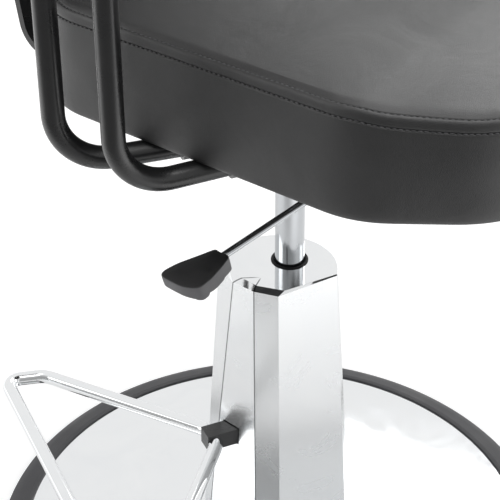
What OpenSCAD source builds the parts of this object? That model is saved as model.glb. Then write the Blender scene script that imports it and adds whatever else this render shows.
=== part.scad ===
/* [Base] */
// Diameter of the base over its rubber ring
base_d = 570; // [540:5:600]
// Width of the rubber ring, seen from above
ring_w = 29; // [24:1:36]
// Height of the rubber ring at its outer edge
ring_edge_h = 10; // [7:1:13]
// Height of the rubber ring where it meets the disc
ring_top_h = 18.5; // [16:0.5:22]
// Height of the chrome disc at its middle
disc_h = 34; // [30:1:40]
// Sheet thickness of the chrome disc
disc_wall = 3; // [2:0.5:4]
// Distance of the column from the middle of the base
column_offset = 26; // [22:1:28]

/* [Column cover] */
// Height of the top of the cover above the floor
cover_top = 331; // [320:1:335]
// Radius of the round back of the cover, at its top
cover_back_r = 63; // [61:0.5:66]
// Distance of the front flat from the middle of the base, at the top
cover_flat = 29; // [27:0.5:32]
// Half the width of the front flat
cover_flat_half = 31; // [28:0.5:34]
// Width of the bevel between the top and the flats
cover_bevel = 7; // [4:0.5:9]
// How far the cover spreads outward from its top to its foot
cover_flare = 14; // [10:1:18]
// Sheet thickness of the cover
cover_wall = 2.5; // [2:0.5:3.5]

/* [Gas spring] */
// Diameter of the polished column
column_d = 28; // [27:0.5:29]
// Outer diameter of the stand tube
stand_tube_d = 50; // [48:1:52]
// Height of the underside of the seat pan in the raised position
pan_bottom = 488; // [484:1:494]
// Travel of the column
stroke = 145; // [100:5:145]

/* [Seat] */
// Height of the underside of the seat in the raised position
seat_bottom = 547; // [545:1:556]
// Width of the seat cushion
seat_w = 394; // [384:2:410]
// Distance from the column to the front edge of the seat
seat_front = 302; // [290:2:312]
// Distance from the column to the rear edge of the seat
seat_rear = 165; // [160:1:175]
// Height of the side of the cushion up to its lower seam
seat_side_h = 83; // [76:1:90]
// Thickness of the seat board
seat_board_t = 15; // [12:1:18]

/* [Armrests] */
// Diameter of the arm tubes
arm_tube_d = 19; // [16:0.5:20]
// Distance of the arm posts from the side of the seat
arm_gap = 57; // [50:1:62]
// Distance of the front arm post behind the column, negative when it is ahead
arm_front_y = -21; // [-28:1:-14]
// Distance between the two posts of one armrest
arm_pitch = 63; // [60:1:70]
// Radius of the bend under the seat, along the middle of the tube
arm_bend_r = 47; // [42:1:49]
// Height of the arm rail above the underside of the seat
arm_rise = 270; // [250:5:300]
// Length of the arm pads
arm_pad_l = 270; // [250:5:290]
// Width of the arm pads
arm_pad_w = 56; // [52:1:62]

/* [Backrest] */
// Width of the backrest cushion
back_w = 420; // [390:5:430]
// Height of the backrest cushion
back_h = 380; // [350:5:400]
// Thickness of the backrest cushion in front of its board
back_t = 52; // [46:1:60]
// Lean of the backrest, in degrees
back_lean = 10; // [7:1:13]

/* [Height lever] */
// Diameter of the lever rod
lever_rod_d = 6.5; // [6:0.5:7.5]
// Length of the paddle
paddle_l = 56; // [50:1:62]
// Width of the paddle at its nose
paddle_w = 35; // [31:1:39]
// Upward swing of the lever, in degrees
lever_swing = 5; // [4:0.5:5]

/* [Footrest] */
// Diameter of the footrest bar
foot_bar_d = 14; // [12:0.5:15]
// Height of the middle of the footrest bar above the floor
foot_h = 152; // [146:1:160]
// Distance of the foot rail from the middle of the base
foot_reach = 225; // [218:1:232]
// Width of the foot rail between its corners
foot_rail_w = 342; // [330:2:352]

/* [Hidden] */

// Shared values
run_clear = 0.05;
bolt_clear = 0.2;
part_gap = 0.4;
over = 1;
slice = 0.01;
round_fn = 96;
small_fn = 32;

// Base stack
pad_t = 3;
pad_in = 12;
ballast_t = 9;
ballast_in = 22;
hub_r = 92;
ring_lip = 4;
ring_crown = 1.4;
disc_flat_r = 100;
disc_steps = 10;
flange_t = 6;
flange_r = 46;
socket_wall = 3.5;
socket_h = 70;
stand_wall = 2;
stand_end_t = 4;
stand_below_top = 8;
bolt_r = 4;
bolt_head_r = 6.5;
bolt_head_h = 5.3;
flange_bolt_circle = 37;
flange_bolt_l = 24;
disc_r = base_d / 2 - ring_w;
stand_r = stand_tube_d / 2;
stand_bottom = disc_h - disc_wall;
stand_top = cover_top - stand_below_top;

// Cover
cover_tip_share = 0.3;
cover_half_share = 0.6;
cover_steps = 20;
cover_foot_z = disc_h;
seal_ring_w = 3;
seal_clear = 0.3;
seal_lip_h = 0.6;
arm_hole_clear = 1;

// Gas spring
column_r = column_d / 2;
column_wall = 2;
column_bore = column_r - column_wall;
bush_h = 84;
bush_flange_t = 2;
race_t = 2.5;
race_in = 6;
race_out = 18;
race_lip = 1;
cage_t = 4;
ball_r = 1.9;
ball_count = 12;
ball_circle = 12;
rod_r = 5;
collar_r = 9;
collar_h = 6;
clip_t = 2.5;
clip_w = 3.5;
clip_recess_r = 12;
clip_recess_h = 5;
piston_h = 14;
nut_h = 5;
nut_r = 8;
stop_gap = 3;
guide_up = 2;
guide_h = 10;
taper_h = 36;
taper_drop = 0.7;
column_cap = 10;
pin_r = 4;
pin_rise = 12;
pin_foot_r = 6;
pin_foot_h = 3;
pin_drop = 8;
race_bottom = stand_bottom + stand_end_t;
cage_bottom = race_bottom + race_t;
upper_race_bottom = cage_bottom + cage_t;
collar_bottom = upper_race_bottom + race_t;
column_bottom = collar_bottom + collar_h + stroke + stop_gap;
guide_bottom = column_bottom + guide_up;
piston_bottom = guide_bottom + guide_h + 1;
taper_start = pan_bottom + 2;
column_top = taper_start + taper_h;
pin_top = column_top + pin_rise;
pin_bottom = column_top - column_cap - pin_drop;

// Seat pan
pan_wall = 3;
pan_half_w = 60;
pan_front = 150;
pan_rear = 75;
pan_round = 14;
pan_flange = 22;
pan_bolt_l = 14;
socket_out_r = 20;
socket_len = taper_h - 4;
slot_half_w = 9;
slot_below = 11;
slot_above = 9;

// Height lever, measured from the column's axis
shaft_x = 39;
shaft_up = 17;
shaft_r = 5;
shaft_front = 134;
shaft_back = 23;
bracket_t = 4;
bracket_half = 11;
bracket_front_y = 130;
bracket_back_y = 16;
tongue_w = 12;
tongue_t = 4.2;
tongue_gap = 0.8;
tongue_nose = 6;
lever_hub_r = 9;
lever_hub_l = 16;
lever_hub_y = 118;
lever_plan = 164;
lever_droop = 14;
lever_reach = 158;
grip_l = 16;
paddle_t = 9;
paddle_root_w = 15;
paddle_nose_share = 0.3;
paddle_edge = 2;
paddle_ribs = 4;
paddle_rib_deep = 3.4;
shaft_z = pan_bottom + shaft_up;

// Seat outline and cushion
seat_half = seat_w / 2;
chamfer_turn = 35.6;
front_corner_y = 194;
rear_corner_y = 92;
side_round = 60;
end_round = 50;
arc_steps = 5;
board_inset = 14;
seam_step = 9;
seat_crown = 18;
seat_edge_soft = 5;

// Armrests
arm_tube_r = arm_tube_d / 2;
arm_wall = 1.5;
arm_x = seat_half + arm_gap;
arm_front_turn = 27;
arm_rear_turn = 34;
arm_inner_x = 95;
arm_axis_z = seat_bottom - arm_tube_r;
rail_t = 4;
rail_w = 34;
rail_short = 60;
rail_ahead = 30;
rail_z = seat_bottom + arm_rise;
rail_y = arm_front_y + arm_pitch / 2 - rail_ahead;
arm_board_t = 8;
arm_board_in = 8;
arm_pad_h = 30;
arm_pad_round = 22;
saddle_l = 16;
saddle_t = 2.5;
saddle_ear = 10;
front_saddle_x = [162, 113];
rear_saddle_x = [163, 118];
plug_t = 2;
screw_r = 2;
screw_head_r = 3.8;
screw_head_h = 2;
saddle_screw_l = 10;
pad_screw_l = 8;

// Backrest
strap_w = 40;
strap_t = 6;
strap_x = 106;
strap_front_y = 36;
strap_bend = 24;
strap_steps = 10;
strap_up = 300;
strap_bolt_r = 3;
strap_bolt_l = 12;
back_bottom = 128;
back_board_t = 12;
back_board_in = 26;
back_round = 60;
back_crown = 12;
back_screw_l = 9;
strap_run = seat_rear + 12 - strap_front_y;
back_low = (back_bottom - strap_bend) / cos(back_lean);

// Footrest, in its own plane: the first axis runs from the base's middle to the rail
foot_axis = 152;
foot_leg_turn = 51.3;
foot_end_turn = 13.2;
foot_end_l = 40.6;
foot_root_bend = 30;
foot_arm_back = 12;
weld_w = 0.4;
weld_h = 0.06;
foot_knee_bend = 26;
foot_corner_bend = 12;
clamp_h = 22;
clamp_wall = 5;
clamp_ear = 10;
clamp_ear_t = 6;
clamp_slit = 3;
clamp_step = 1;
clamp_arm_half = 9;
clamp_bolt_r = 3;
clamp_bolt_z = 5.5;

chrome = "gainsboro";
steel = "silver";
paint = "dimgray";
rubber = "black";
hide = [0.13, 0.13, 0.14];

// Shared forms
module at_column() {
    translate([column_offset, 0, 0]) children();
}

module ring_solid(r_out, r_in, h) {
    difference() {
        cylinder(r = r_out, h = h, $fn = round_fn);
        translate([0, 0, -over]) cylinder(r = r_in, h = h + 2 * over, $fn = round_fn);
    }
}

module round_rect(w, l, r) {
    square([w - 2 * r, l], center = true);
    square([w, l - 2 * r], center = true);
    for (x = [-1, 1], y = [-1, 1])
        translate([x * (w / 2 - r), y * (l / 2 - r)]) circle(r = r, $fn = round_fn);
}

// A screw that points up, with its head below its seat
module screw_up(r, head_r, head_h, l, head_fn) {
    translate([0, 0, -head_h]) cylinder(r = head_r, h = head_h, $fn = head_fn);
    cylinder(r = r, h = l, $fn = small_fn);
}

function unit(v) = v / norm(v);

// Points of an arc of radius r that rounds the corner b between a and c
function rounded(a, b, c, r) =
    let (u = unit(a - b), v = unit(c - b), half = acos(u * v) / 2,
         m = b + unit(u + v) * r / sin(half), s = b + u * r / tan(half), e = b + v * r / tan(half),
         a0 = atan2(s[1] - m[1], s[0] - m[0]), a1 = atan2(e[1] - m[1], e[0] - m[0]),
         turn = (a1 - a0 + 540) % 360 - 180)
    [for (i = [0 : arc_steps]) m + r * [cos(a0 + turn * i / arc_steps), sin(a0 + turn * i / arc_steps)]];

function round_outline(corners, radii) =
    let (n = len(corners))
    [for (i = [0 : n - 1]) each rounded(corners[(i + n - 1) % n], corners[i], corners[(i + 1) % n], radii[i])];

// An outline drawn in on every side by a distance, about the middle [0, mid]
function drawn_in(outline, half, mid, inset) =
    [for (p = outline) [p[0] * (1 - inset / half[0]), mid + (p[1] - mid) * (1 - inset / half[1])]];

// A closed cushion: one ring of points for each [inset, height], from its pocket round to its crown
module cushion(outline, half, mid, rings) {
    n = len(outline);
    m = len(rings);
    points = concat(
        [for (r = rings) for (p = drawn_in(outline, half, mid, r[0])) [p[0], p[1], r[1]]],
        [[0, mid, rings[0][1]], [0, mid, rings[m - 1][1]]]);
    sides = [for (i = [0 : m - 2], j = [0 : n - 1]) each
        let (k = (j + 1) % n)
        [[i * n + j, (i + 1) * n + j, (i + 1) * n + k], [i * n + j, (i + 1) * n + k, i * n + k]]];
    low = [for (j = [0 : n - 1]) [n * m, j, (j + 1) % n]];
    high = [for (j = [0 : n - 1]) [n * m + 1, (m - 1) * n + (j + 1) % n, (m - 1) * n + j]];
    polyhedron(points = points, faces = concat(sides, low, high), convexity = 6);
}

// Base
module floor_pad() {
    color(rubber) cylinder(r = disc_r - pad_in, h = pad_t, $fn = round_fn);
}

module flange_bolt_places() {
    at_column() for (a = [45 : 90 : 315])
        rotate([0, 0, a]) translate([flange_bolt_circle, 0, 0]) children();
}

module ballast() {
    color(paint) difference() {
        translate([0, 0, pad_t]) union() {
            cylinder(r = disc_r - ballast_in, h = ballast_t, $fn = round_fn);
            cylinder(r = hub_r, h = stand_bottom - pad_t, $fn = round_fn);
        }
        at_column() translate([0, 0, stand_bottom - clip_recess_h])
            cylinder(r = clip_recess_r, h = clip_recess_h + over, $fn = round_fn);
        flange_bolt_places() translate([0, 0, disc_h + flange_t - flange_bolt_l - part_gap])
            cylinder(r = bolt_r + bolt_clear, h = flange_bolt_l, $fn = small_fn);
    }
}

module rubber_ring() {
    r = base_d / 2;
    nose = ring_edge_h / 2;
    color(rubber) rotate_extrude($fn = round_fn) polygon(concat(
        [[disc_r, 0], [r - nose, 0]],
        [for (a = [-60 : 30 : 90]) [r - nose + nose * cos(a), nose + nose * sin(a)]],
        [[r - ring_w / 2, (ring_edge_h + ring_top_h) / 2 + ring_crown],
         [disc_r + ring_lip, ring_top_h], [disc_r, ring_top_h - ring_lip / 4]]));
}

// The disc's upper side rises in a quarter wave from the ring to its flat middle
function disc_z(share) = ring_top_h - ring_lip / 2 + (disc_h - ring_top_h + ring_lip / 2) * sin(90 * share);
function disc_edge(share, r) = r - (r - disc_flat_r) * share;

module base_disc() {
    inner = disc_r - disc_wall;
    color(chrome) difference() {
        rotate_extrude($fn = round_fn) polygon(concat(
            [[disc_r, pad_t]],
            [for (i = [0 : disc_steps]) [disc_edge(i / disc_steps, disc_r), disc_z(i / disc_steps)]],
            [[0, disc_h], [0, disc_h - disc_wall]],
            [for (i = [disc_steps : -1 : 0]) [disc_edge(i / disc_steps, inner), disc_z(i / disc_steps) - disc_wall]],
            [[inner, pad_t]]));
        at_column() translate([0, 0, disc_h - disc_wall - over])
            cylinder(r = stand_r, h = disc_wall + 2 * over, $fn = round_fn);
        flange_bolt_places() translate([0, 0, disc_h - disc_wall - over])
            cylinder(r = bolt_r + bolt_clear, h = disc_wall + 2 * over, $fn = small_fn);
    }
}

module socket_flange() {
    color(steel) difference() {
        at_column() translate([0, 0, disc_h]) difference() {
            union() {
                cylinder(r = flange_r, h = flange_t, $fn = round_fn);
                cylinder(r = stand_r + socket_wall, h = socket_h, $fn = round_fn);
            }
            translate([0, 0, -over]) cylinder(r = stand_r, h = socket_h + 2 * over, $fn = round_fn);
        }
        flange_bolt_places() translate([0, 0, disc_h - over])
            cylinder(r = bolt_r + bolt_clear, h = flange_t + 2 * over, $fn = small_fn);
    }
}

module flange_bolts() {
    color(steel) flange_bolt_places() translate([0, 0, disc_h + flange_t]) mirror([0, 0, 1])
        screw_up(bolt_r, bolt_head_r, bolt_head_h, flange_bolt_l, 6);
}

module stand_tube() {
    h = stand_top - stand_bottom;
    color(paint) at_column() translate([0, 0, stand_bottom]) difference() {
        cylinder(r = stand_r, h = h, $fn = round_fn);
        translate([0, 0, stand_end_t]) cylinder(r = stand_r - stand_wall, h = h, $fn = round_fn);
        translate([0, 0, -over])
            cylinder(r = rod_r + run_clear, h = stand_end_t + 2 * over, $fn = round_fn);
    }
}

module guide_bush() {
    color(rubber) at_column() translate([0, 0, stand_top - bush_h]) difference() {
        union() {
            cylinder(r = stand_r - stand_wall, h = bush_h, $fn = round_fn);
            translate([0, 0, bush_h]) cylinder(r = stand_r, h = bush_flange_t, $fn = round_fn);
        }
        translate([0, 0, -over])
            cylinder(r = column_r + run_clear, h = bush_h + bush_flange_t + 2 * over, $fn = round_fn);
    }
}

module lower_race() {
    color(steel) at_column() translate([0, 0, race_bottom]) ring_solid(race_out, race_in, race_t);
}

// The cage holds its balls a hair clear of both races
module bearing_cage() {
    web = cage_t / 2;
    color("goldenrod") at_column() translate([0, 0, cage_bottom + cage_t / 2]) {
        translate([0, 0, -web / 2]) ring_solid(race_out - race_lip, race_in + race_lip, web);
        for (i = [0 : ball_count - 1]) rotate([0, 0, i * 360 / ball_count])
            translate([ball_circle, 0, 0]) sphere(r = ball_r, $fn = small_fn);
    }
}

// Cover: a round back with three flats in front, spreading towards its foot
module cover_plan(grow, flat_grow) {
    back = cover_back_r + grow;
    flat = cover_flat + flat_grow;
    half = cover_flat_half + flat_grow * cover_half_share;
    tip = 180 - acos((cover_back_r * cover_tip_share - flat_grow / 2) / back);
    polygon(concat(
        [for (i = [0 : cover_steps]) let (a = -tip + 2 * tip * i / cover_steps) back * [cos(a), sin(a)]],
        [[-flat, half], [-flat, -half]]));
}

module cover_form(inset) {
    hull() {
        translate([0, 0, cover_top - slice - inset])
            linear_extrude(slice) cover_plan(-inset, -inset);
        translate([0, 0, cover_top - cover_bevel - inset])
            linear_extrude(slice) cover_plan(-inset, cover_bevel - inset);
        translate([0, 0, cover_foot_z])
            linear_extrude(slice) cover_plan(cover_flare - inset, cover_bevel + cover_flare - inset);
    }
}

module cover() {
    color(chrome) difference() {
        cover_form(0);
        cover_form(cover_wall);
        translate([0, 0, cover_foot_z - over]) linear_extrude(over + 2 * slice)
            cover_plan(cover_flare - cover_wall, cover_bevel + cover_flare - cover_wall);
        at_column() translate([0, 0, cover_top - 2 * cover_wall])
            cylinder(r = column_r + seal_ring_w, h = 3 * cover_wall, $fn = round_fn);
        foot_arm(clamp_arm_half + arm_hole_clear, cover_back_r);
    }
}

module cover_seal() {
    low = stand_top + bush_flange_t;
    color(rubber) at_column() difference() {
        union() {
            translate([0, 0, cover_top - cover_wall])
                cylinder(r = column_r + seal_ring_w, h = cover_wall + seal_lip_h, $fn = round_fn);
            translate([0, 0, low])
                cylinder(r = column_r + 2 * seal_ring_w, h = cover_top - cover_wall - low, $fn = round_fn);
        }
        translate([0, 0, stand_top])
            cylinder(r = column_r + seal_clear, h = 2 * stand_below_top, $fn = round_fn);
    }
}

// Footrest: a root bend at the clamp's arm, two legs, tight corners and a rail
foot_corner = [foot_reach, foot_rail_w / 2];
foot_knee = foot_corner - foot_end_l * [cos(foot_end_turn), sin(foot_end_turn)];
foot_root = [foot_knee[0] - foot_knee[1] / tan(foot_leg_turn), 0];
foot_path = [foot_root, foot_knee, foot_corner, [foot_reach, 0]];
foot_bends = [foot_root_bend, foot_knee_bend, foot_corner_bend];

// Length of straight that a bend of radius r takes up at the corner b between a and c
function bend_take(a, b, c, r) = r / tan(acos(unit(a - b) * unit(c - b)) / 2);

module bar(a, b, r) {
    d = b - a;
    translate([a[0], a[1], 0]) rotate([0, 0, atan2(d[1], d[0])]) rotate([0, 90, 0])
        cylinder(r = r, h = norm(d), $fn = small_fn);
}

module bar_bend(a, b, c, bend_r, r) {
    u = unit(a - b);
    v = unit(c - b);
    half = acos(u * v) / 2;
    take = bend_r / tan(half);
    m = b + unit(u + v) * bend_r / sin(half);
    start = b + u * take - m;
    end = b + v * take - m;
    a0 = atan2(start[1], start[0]);
    turn = (atan2(end[1], end[0]) - a0 + 540) % 360 - 180;
    translate([m[0], m[1], 0]) rotate([0, 0, turn > 0 ? a0 : a0 + turn])
        rotate_extrude(angle = abs(turn), $fn = round_fn)
            translate([bend_r, 0]) circle(r = r, $fn = small_fn);
    for (d = [u, v])
        bar(b + (take - weld_w) * d, b + (take + 2 * weld_w) * d, r + weld_h);
}

module foot_half(r) {
    p = foot_path;
    mirrored_knee = [foot_knee[0], -foot_knee[1]];
    k0 = bend_take(mirrored_knee, p[0], p[1], foot_bends[0]) + weld_w;
    k1 = bend_take(p[0], p[1], p[2], foot_bends[1]) + weld_w;
    k2 = bend_take(p[1], p[2], p[3], foot_bends[2]) + weld_w;
    bar(p[0] + k0 * unit(p[1] - p[0]), p[1] - k1 * unit(p[1] - p[0]), r);
    bar_bend(p[0], p[1], p[2], foot_bends[1], r);
    bar(p[1] + k1 * unit(p[2] - p[1]), p[2] - k2 * unit(p[2] - p[1]), r);
    bar_bend(p[1], p[2], p[3], foot_bends[2], r);
}

module foot_loop(r) {
    rotate([0, 0, foot_axis]) translate([0, 0, foot_h]) {
        foot_half(r);
        mirror([0, 1, 0]) foot_half(r);
        k2 = bend_take(foot_path[1], foot_path[2], foot_path[3], foot_bends[2]) + weld_w;
        bar([foot_reach, -foot_rail_w / 2 + k2], [foot_reach, foot_rail_w / 2 - k2], r);
        foot_root_arc(r);
    }
}

module foot_root_arc(r) {
    bar_bend([foot_knee[0], -foot_knee[1]], foot_root, foot_knee, foot_root_bend, r);
}

module footrest() {
    color(chrome) foot_loop(foot_bar_d / 2);
}

// The clamp's arm, from the stand tube out through the cover
module foot_arm(half, reach) {
    rotate([0, 0, foot_axis]) translate([-foot_arm_back, -half, foot_h - half])
        cube([reach + foot_arm_back, 2 * half, 2 * half]);
}

module clamp_bolt_places() {
    at_column() for (z = [-clamp_bolt_z, clamp_bolt_z])
        rotate([0, 0, foot_axis + 180]) translate([stand_r + clamp_wall + clamp_ear / 2, 0, foot_h + z])
            rotate([90, 0, 0]) translate([0, 0, clamp_slit / 2 + clamp_ear_t]) children();
}

module foot_clamp() {
    ear_w = clamp_slit + 2 * clamp_ear_t;
    ear_h = clamp_h - 2 * clamp_step;
    arc_reach = foot_root_bend * (1 / sin(foot_leg_turn) - 1);
    color(paint) difference() {
        union() {
            at_column() rotate([0, 0, foot_axis]) {
                translate([0, 0, foot_h - clamp_h / 2])
                    cylinder(r = stand_r + clamp_wall, h = clamp_h, $fn = round_fn);
                translate([-stand_r - clamp_wall - clamp_ear, -ear_w / 2, foot_h - ear_h / 2])
                    cube([stand_r, ear_w, ear_h]);
            }
            foot_arm(clamp_arm_half, foot_root[0] + arc_reach + clamp_arm_half);
        }
        at_column() rotate([0, 0, foot_axis]) translate([0, 0, foot_h - clamp_h]) {
            cylinder(r = stand_r, h = 2 * clamp_h, $fn = round_fn);
            translate([-2 * stand_r, -clamp_slit / 2, 0])
                cube([2 * stand_r, clamp_slit, 2 * clamp_h]);
        }
        clamp_bolt_places() translate([0, 0, -ear_w - over])
            cylinder(r = clamp_bolt_r + bolt_clear, h = ear_w + 2 * over, $fn = small_fn);
        rotate([0, 0, foot_axis]) translate([0, 0, foot_h]) foot_root_arc(foot_bar_d / 2);
    }
}

module clamp_bolts() {
    ear_w = clamp_slit + 2 * clamp_ear_t;
    color(steel) clamp_bolt_places() mirror([0, 0, 1])
        screw_up(clamp_bolt_r, clamp_bolt_r * 1.6, clamp_bolt_r, ear_w + clamp_bolt_r, 6);
}

// Inner part of the gas spring, which turns on the bearing
module upper_race() {
    color(steel) at_column() translate([0, 0, upper_race_bottom]) ring_solid(race_out, race_in, race_t);
}

module piston_rod() {
    low = stand_bottom - clip_recess_h + over;
    color(steel) at_column() {
        translate([0, 0, low])
            cylinder(r = rod_r, h = piston_bottom + piston_h + nut_h - low, $fn = round_fn);
        translate([0, 0, collar_bottom]) cylinder(r = collar_r, h = collar_h, $fn = round_fn);
    }
}

module piston() {
    color("tan") at_column() {
        translate([0, 0, piston_bottom]) ring_solid(column_bore - run_clear, rod_r, piston_h);
        translate([0, 0, piston_bottom + piston_h]) difference() {
            cylinder(r = nut_r, h = nut_h, $fn = 6);
            translate([0, 0, -over]) cylinder(r = rod_r, h = nut_h + 2 * over, $fn = round_fn);
        }
    }
}

module rod_clip() {
    color(steel) at_column() translate([0, 0, stand_bottom - clip_t - part_gap])
        ring_solid(rod_r + clip_w, rod_r, clip_t);
}

// Column with its tapered head and the release pin in it
module column() {
    color(chrome) at_column() difference() {
        union() {
            translate([0, 0, column_bottom])
                cylinder(r = column_r, h = taper_start - column_bottom, $fn = round_fn);
            translate([0, 0, taper_start])
                cylinder(r1 = column_r, r2 = column_r - taper_drop, h = taper_h, $fn = round_fn);
        }
        translate([0, 0, column_bottom - over])
            cylinder(r = column_bore, h = column_top - column_cap - column_bottom + over, $fn = round_fn);
        translate([0, 0, column_top - column_cap - over])
            cylinder(r = pin_r + run_clear, h = column_cap + 2 * over, $fn = round_fn);
    }
}

module rod_guide() {
    color("tan") at_column() translate([0, 0, guide_bottom])
        ring_solid(column_bore, rod_r + run_clear, guide_h);
}

module release_pin() {
    color(steel) at_column() {
        translate([0, 0, pin_bottom]) cylinder(r = pin_r, h = pin_top - pin_bottom, $fn = round_fn);
        translate([0, 0, pin_bottom]) cylinder(r = pin_foot_r, h = pin_foot_h, $fn = round_fn);
    }
}

// Seat pan under the board
module taper_socket() {
    color(steel) at_column() difference() {
        translate([0, 0, taper_start]) cylinder(r = socket_out_r, h = socket_len, $fn = round_fn);
        translate([0, 0, taper_start])
            cylinder(r1 = column_r, r2 = column_r - taper_drop, h = taper_h, $fn = round_fn);
    }
}

module pan_bolt_places() {
    at_column() for (x = [-1, 1], y = [-pan_front - pan_flange / 2, pan_rear + pan_flange / 2])
        translate([x * (pan_half_w - pan_round), y, seat_bottom - pan_wall]) children();
}

module seat_pan() {
    l = pan_front + pan_rear;
    w = 2 * pan_half_w;
    h = seat_bottom - pan_bottom;
    color(paint) at_column() difference() {
        translate([0, (pan_rear - pan_front) / 2, 0]) {
            difference() {
                translate([0, 0, pan_bottom]) linear_extrude(h) round_rect(w, l, pan_round);
                translate([0, 0, pan_bottom + pan_wall]) linear_extrude(h)
                    round_rect(w - 2 * pan_wall, l - 2 * pan_wall, pan_round - pan_wall);
            }
            translate([0, 0, seat_bottom - pan_wall]) linear_extrude(pan_wall) difference() {
                round_rect(w + 2 * pan_flange, l + 2 * pan_flange, pan_round);
                round_rect(w - 2 * pan_wall, l - 2 * pan_wall, pan_round - pan_wall);
            }
        }
        translate([0, 0, pan_bottom - over])
            cylinder(r = socket_out_r, h = pan_wall + 2 * over, $fn = round_fn);
        translate([-pan_half_w - over, lever_exit_y - slot_half_w, shaft_z - slot_below])
            cube([pan_wall + 2 * over, 2 * slot_half_w, slot_below + slot_above]);
        translate([-column_offset, 0, 0]) pan_bolt_places() translate([0, 0, -over])
            cylinder(r = strap_bolt_r + bolt_clear, h = pan_wall + 2 * over, $fn = small_fn);
    }
}

module pan_bolts() {
    color(steel) pan_bolt_places()
        screw_up(strap_bolt_r, strap_bolt_r * 1.6, strap_bolt_r, pan_bolt_l, 6);
}

module shaft_brackets() {
    color(paint) at_column() difference() {
        for (y = [-bracket_front_y, bracket_back_y])
            translate([-shaft_x - bracket_half, y, pan_bottom + pan_wall])
                cube([2 * bracket_half, bracket_t, shaft_up - pan_wall + bracket_half]);
        translate([-shaft_x, -shaft_front - over, shaft_z]) rotate([-90, 0, 0])
            cylinder(r = shaft_r + run_clear, h = shaft_front + shaft_back + 2 * over, $fn = round_fn);
    }
}

// Height lever: cross shaft with its tongue, rod and paddle
lever_exit_y = -lever_hub_y + (pan_half_w - shaft_x) * tan(180 - lever_plan);

module at_shaft() {
    at_column() translate([-shaft_x, 0, shaft_z]) children();
}

module along_lever() {
    at_shaft() translate([0, -lever_hub_y, 0]) rotate([0, 0, lever_plan]) rotate([0, lever_droop, 0])
        children();
}

module shaft_hub(grow) {
    at_shaft() translate([0, -lever_hub_y - lever_hub_l / 2 - grow, 0]) rotate([-90, 0, 0])
        cylinder(r = lever_hub_r, h = lever_hub_l + 2 * grow, $fn = round_fn);
}

module lever_shaft() {
    under = pin_top + tongue_gap - shaft_z;
    color(steel) {
        at_shaft() translate([0, -shaft_front, 0]) rotate([-90, 0, 0])
            cylinder(r = shaft_r, h = shaft_front + shaft_back, $fn = round_fn);
        shaft_hub(0);
        at_shaft() rotate([90, 0, 0]) translate([0, 0, -tongue_w / 2]) linear_extrude(tongue_w) {
            circle(r = lever_hub_r, $fn = round_fn);
            polygon([[-lever_hub_r, 0], [0, -lever_hub_r / 2], [lever_hub_r - 1, 0],
                [shaft_r + 1, under - tongue_t], [shaft_x / 2, under],
                [shaft_x + tongue_nose, under], [shaft_x + tongue_nose, under + tongue_t],
                [0, under + tongue_t]]);
        }
    }
}

module lever_rod() {
    color(chrome) difference() {
        along_lever() rotate([0, 90, 0])
            cylinder(r = lever_rod_d / 2, h = lever_reach + grip_l, $fn = round_fn);
        shaft_hub(over);
    }
}

module paddle_outline() {
    nose_r = paddle_w * paddle_nose_share;
    root_r = paddle_root_w / 2;
    hull() {
        for (s = [-1, 1]) translate([paddle_l - nose_r, s * (paddle_w / 2 - nose_r)])
            circle(r = nose_r, $fn = small_fn);
        for (s = [-1, 1]) translate([paddle_edge, s * (root_r - paddle_edge)])
            circle(r = paddle_edge, $fn = small_fn);
    }
}

// Flat on top, with finger grooves across its underside
module paddle() {
    pitch = (paddle_l - grip_l) / paddle_ribs;
    color(rubber) along_lever() translate([lever_reach, 0, 0]) difference() {
        translate([0, 0, -paddle_t / 2]) linear_extrude(paddle_t) paddle_outline();
        translate([-over, 0, 0]) rotate([0, 90, 0])
            cylinder(r = lever_rod_d / 2, h = grip_l + over, $fn = round_fn);
        for (i = [0 : paddle_ribs - 1]) translate([grip_l + pitch * (i + 0.5), 0, -paddle_t / 2 - pitch / 4])
            rotate([90, 0, 0]) cylinder(r = pitch / 4 + paddle_rib_deep / 2, h = 2 * paddle_w, center = true, $fn = small_fn);
    }
}

// Seat outline: straight sides, slanted corners and softly rounded ends
slant = tan(chamfer_turn);
front_half = seat_half - (seat_front - front_corner_y) * slant;
rear_half = seat_half - (seat_rear - rear_corner_y) * slant;
seat_mid = (seat_rear - seat_front) / 2;
seat_size = [seat_half, (seat_rear + seat_front) / 2];
seat_outline = round_outline(
    [[front_half, -seat_front], [seat_half, -front_corner_y], [seat_half, rear_corner_y],
     [rear_half, seat_rear], [-rear_half, seat_rear], [-seat_half, rear_corner_y],
     [-seat_half, -front_corner_y], [-front_half, -seat_front]],
    [end_round, side_round, side_round, end_round, end_round, side_round, side_round, end_round]);

module saddle_screw_places() {
    ear = arm_tube_r + saddle_t + saddle_ear / 2;
    saddle_places() for (s = [-1, 1]) translate([0, s * ear, arm_tube_r - saddle_t]) children();
}

module strap_bolt_places() {
    at_column() for (s = [-1, 1], y = [strap_front_y + strap_w / 2, strap_front_y + 2 * strap_w])
        translate([s * strap_x, y, seat_bottom - strap_t]) children();
}

module seat_board() {
    color("burlywood") difference() {
        at_column() translate([0, 0, seat_bottom]) linear_extrude(seat_board_t)
            polygon(drawn_in(seat_outline, seat_size, seat_mid, board_inset));
        saddle_screw_places()
            cylinder(r = screw_r + bolt_clear, h = saddle_screw_l + bolt_clear, $fn = small_fn);
        pan_bolt_places()
            cylinder(r = strap_bolt_r + bolt_clear, h = pan_bolt_l + bolt_clear, $fn = small_fn);
        strap_bolt_places()
            cylinder(r = strap_bolt_r + bolt_clear, h = strap_t + strap_bolt_l, $fn = small_fn);
    }
}

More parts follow.
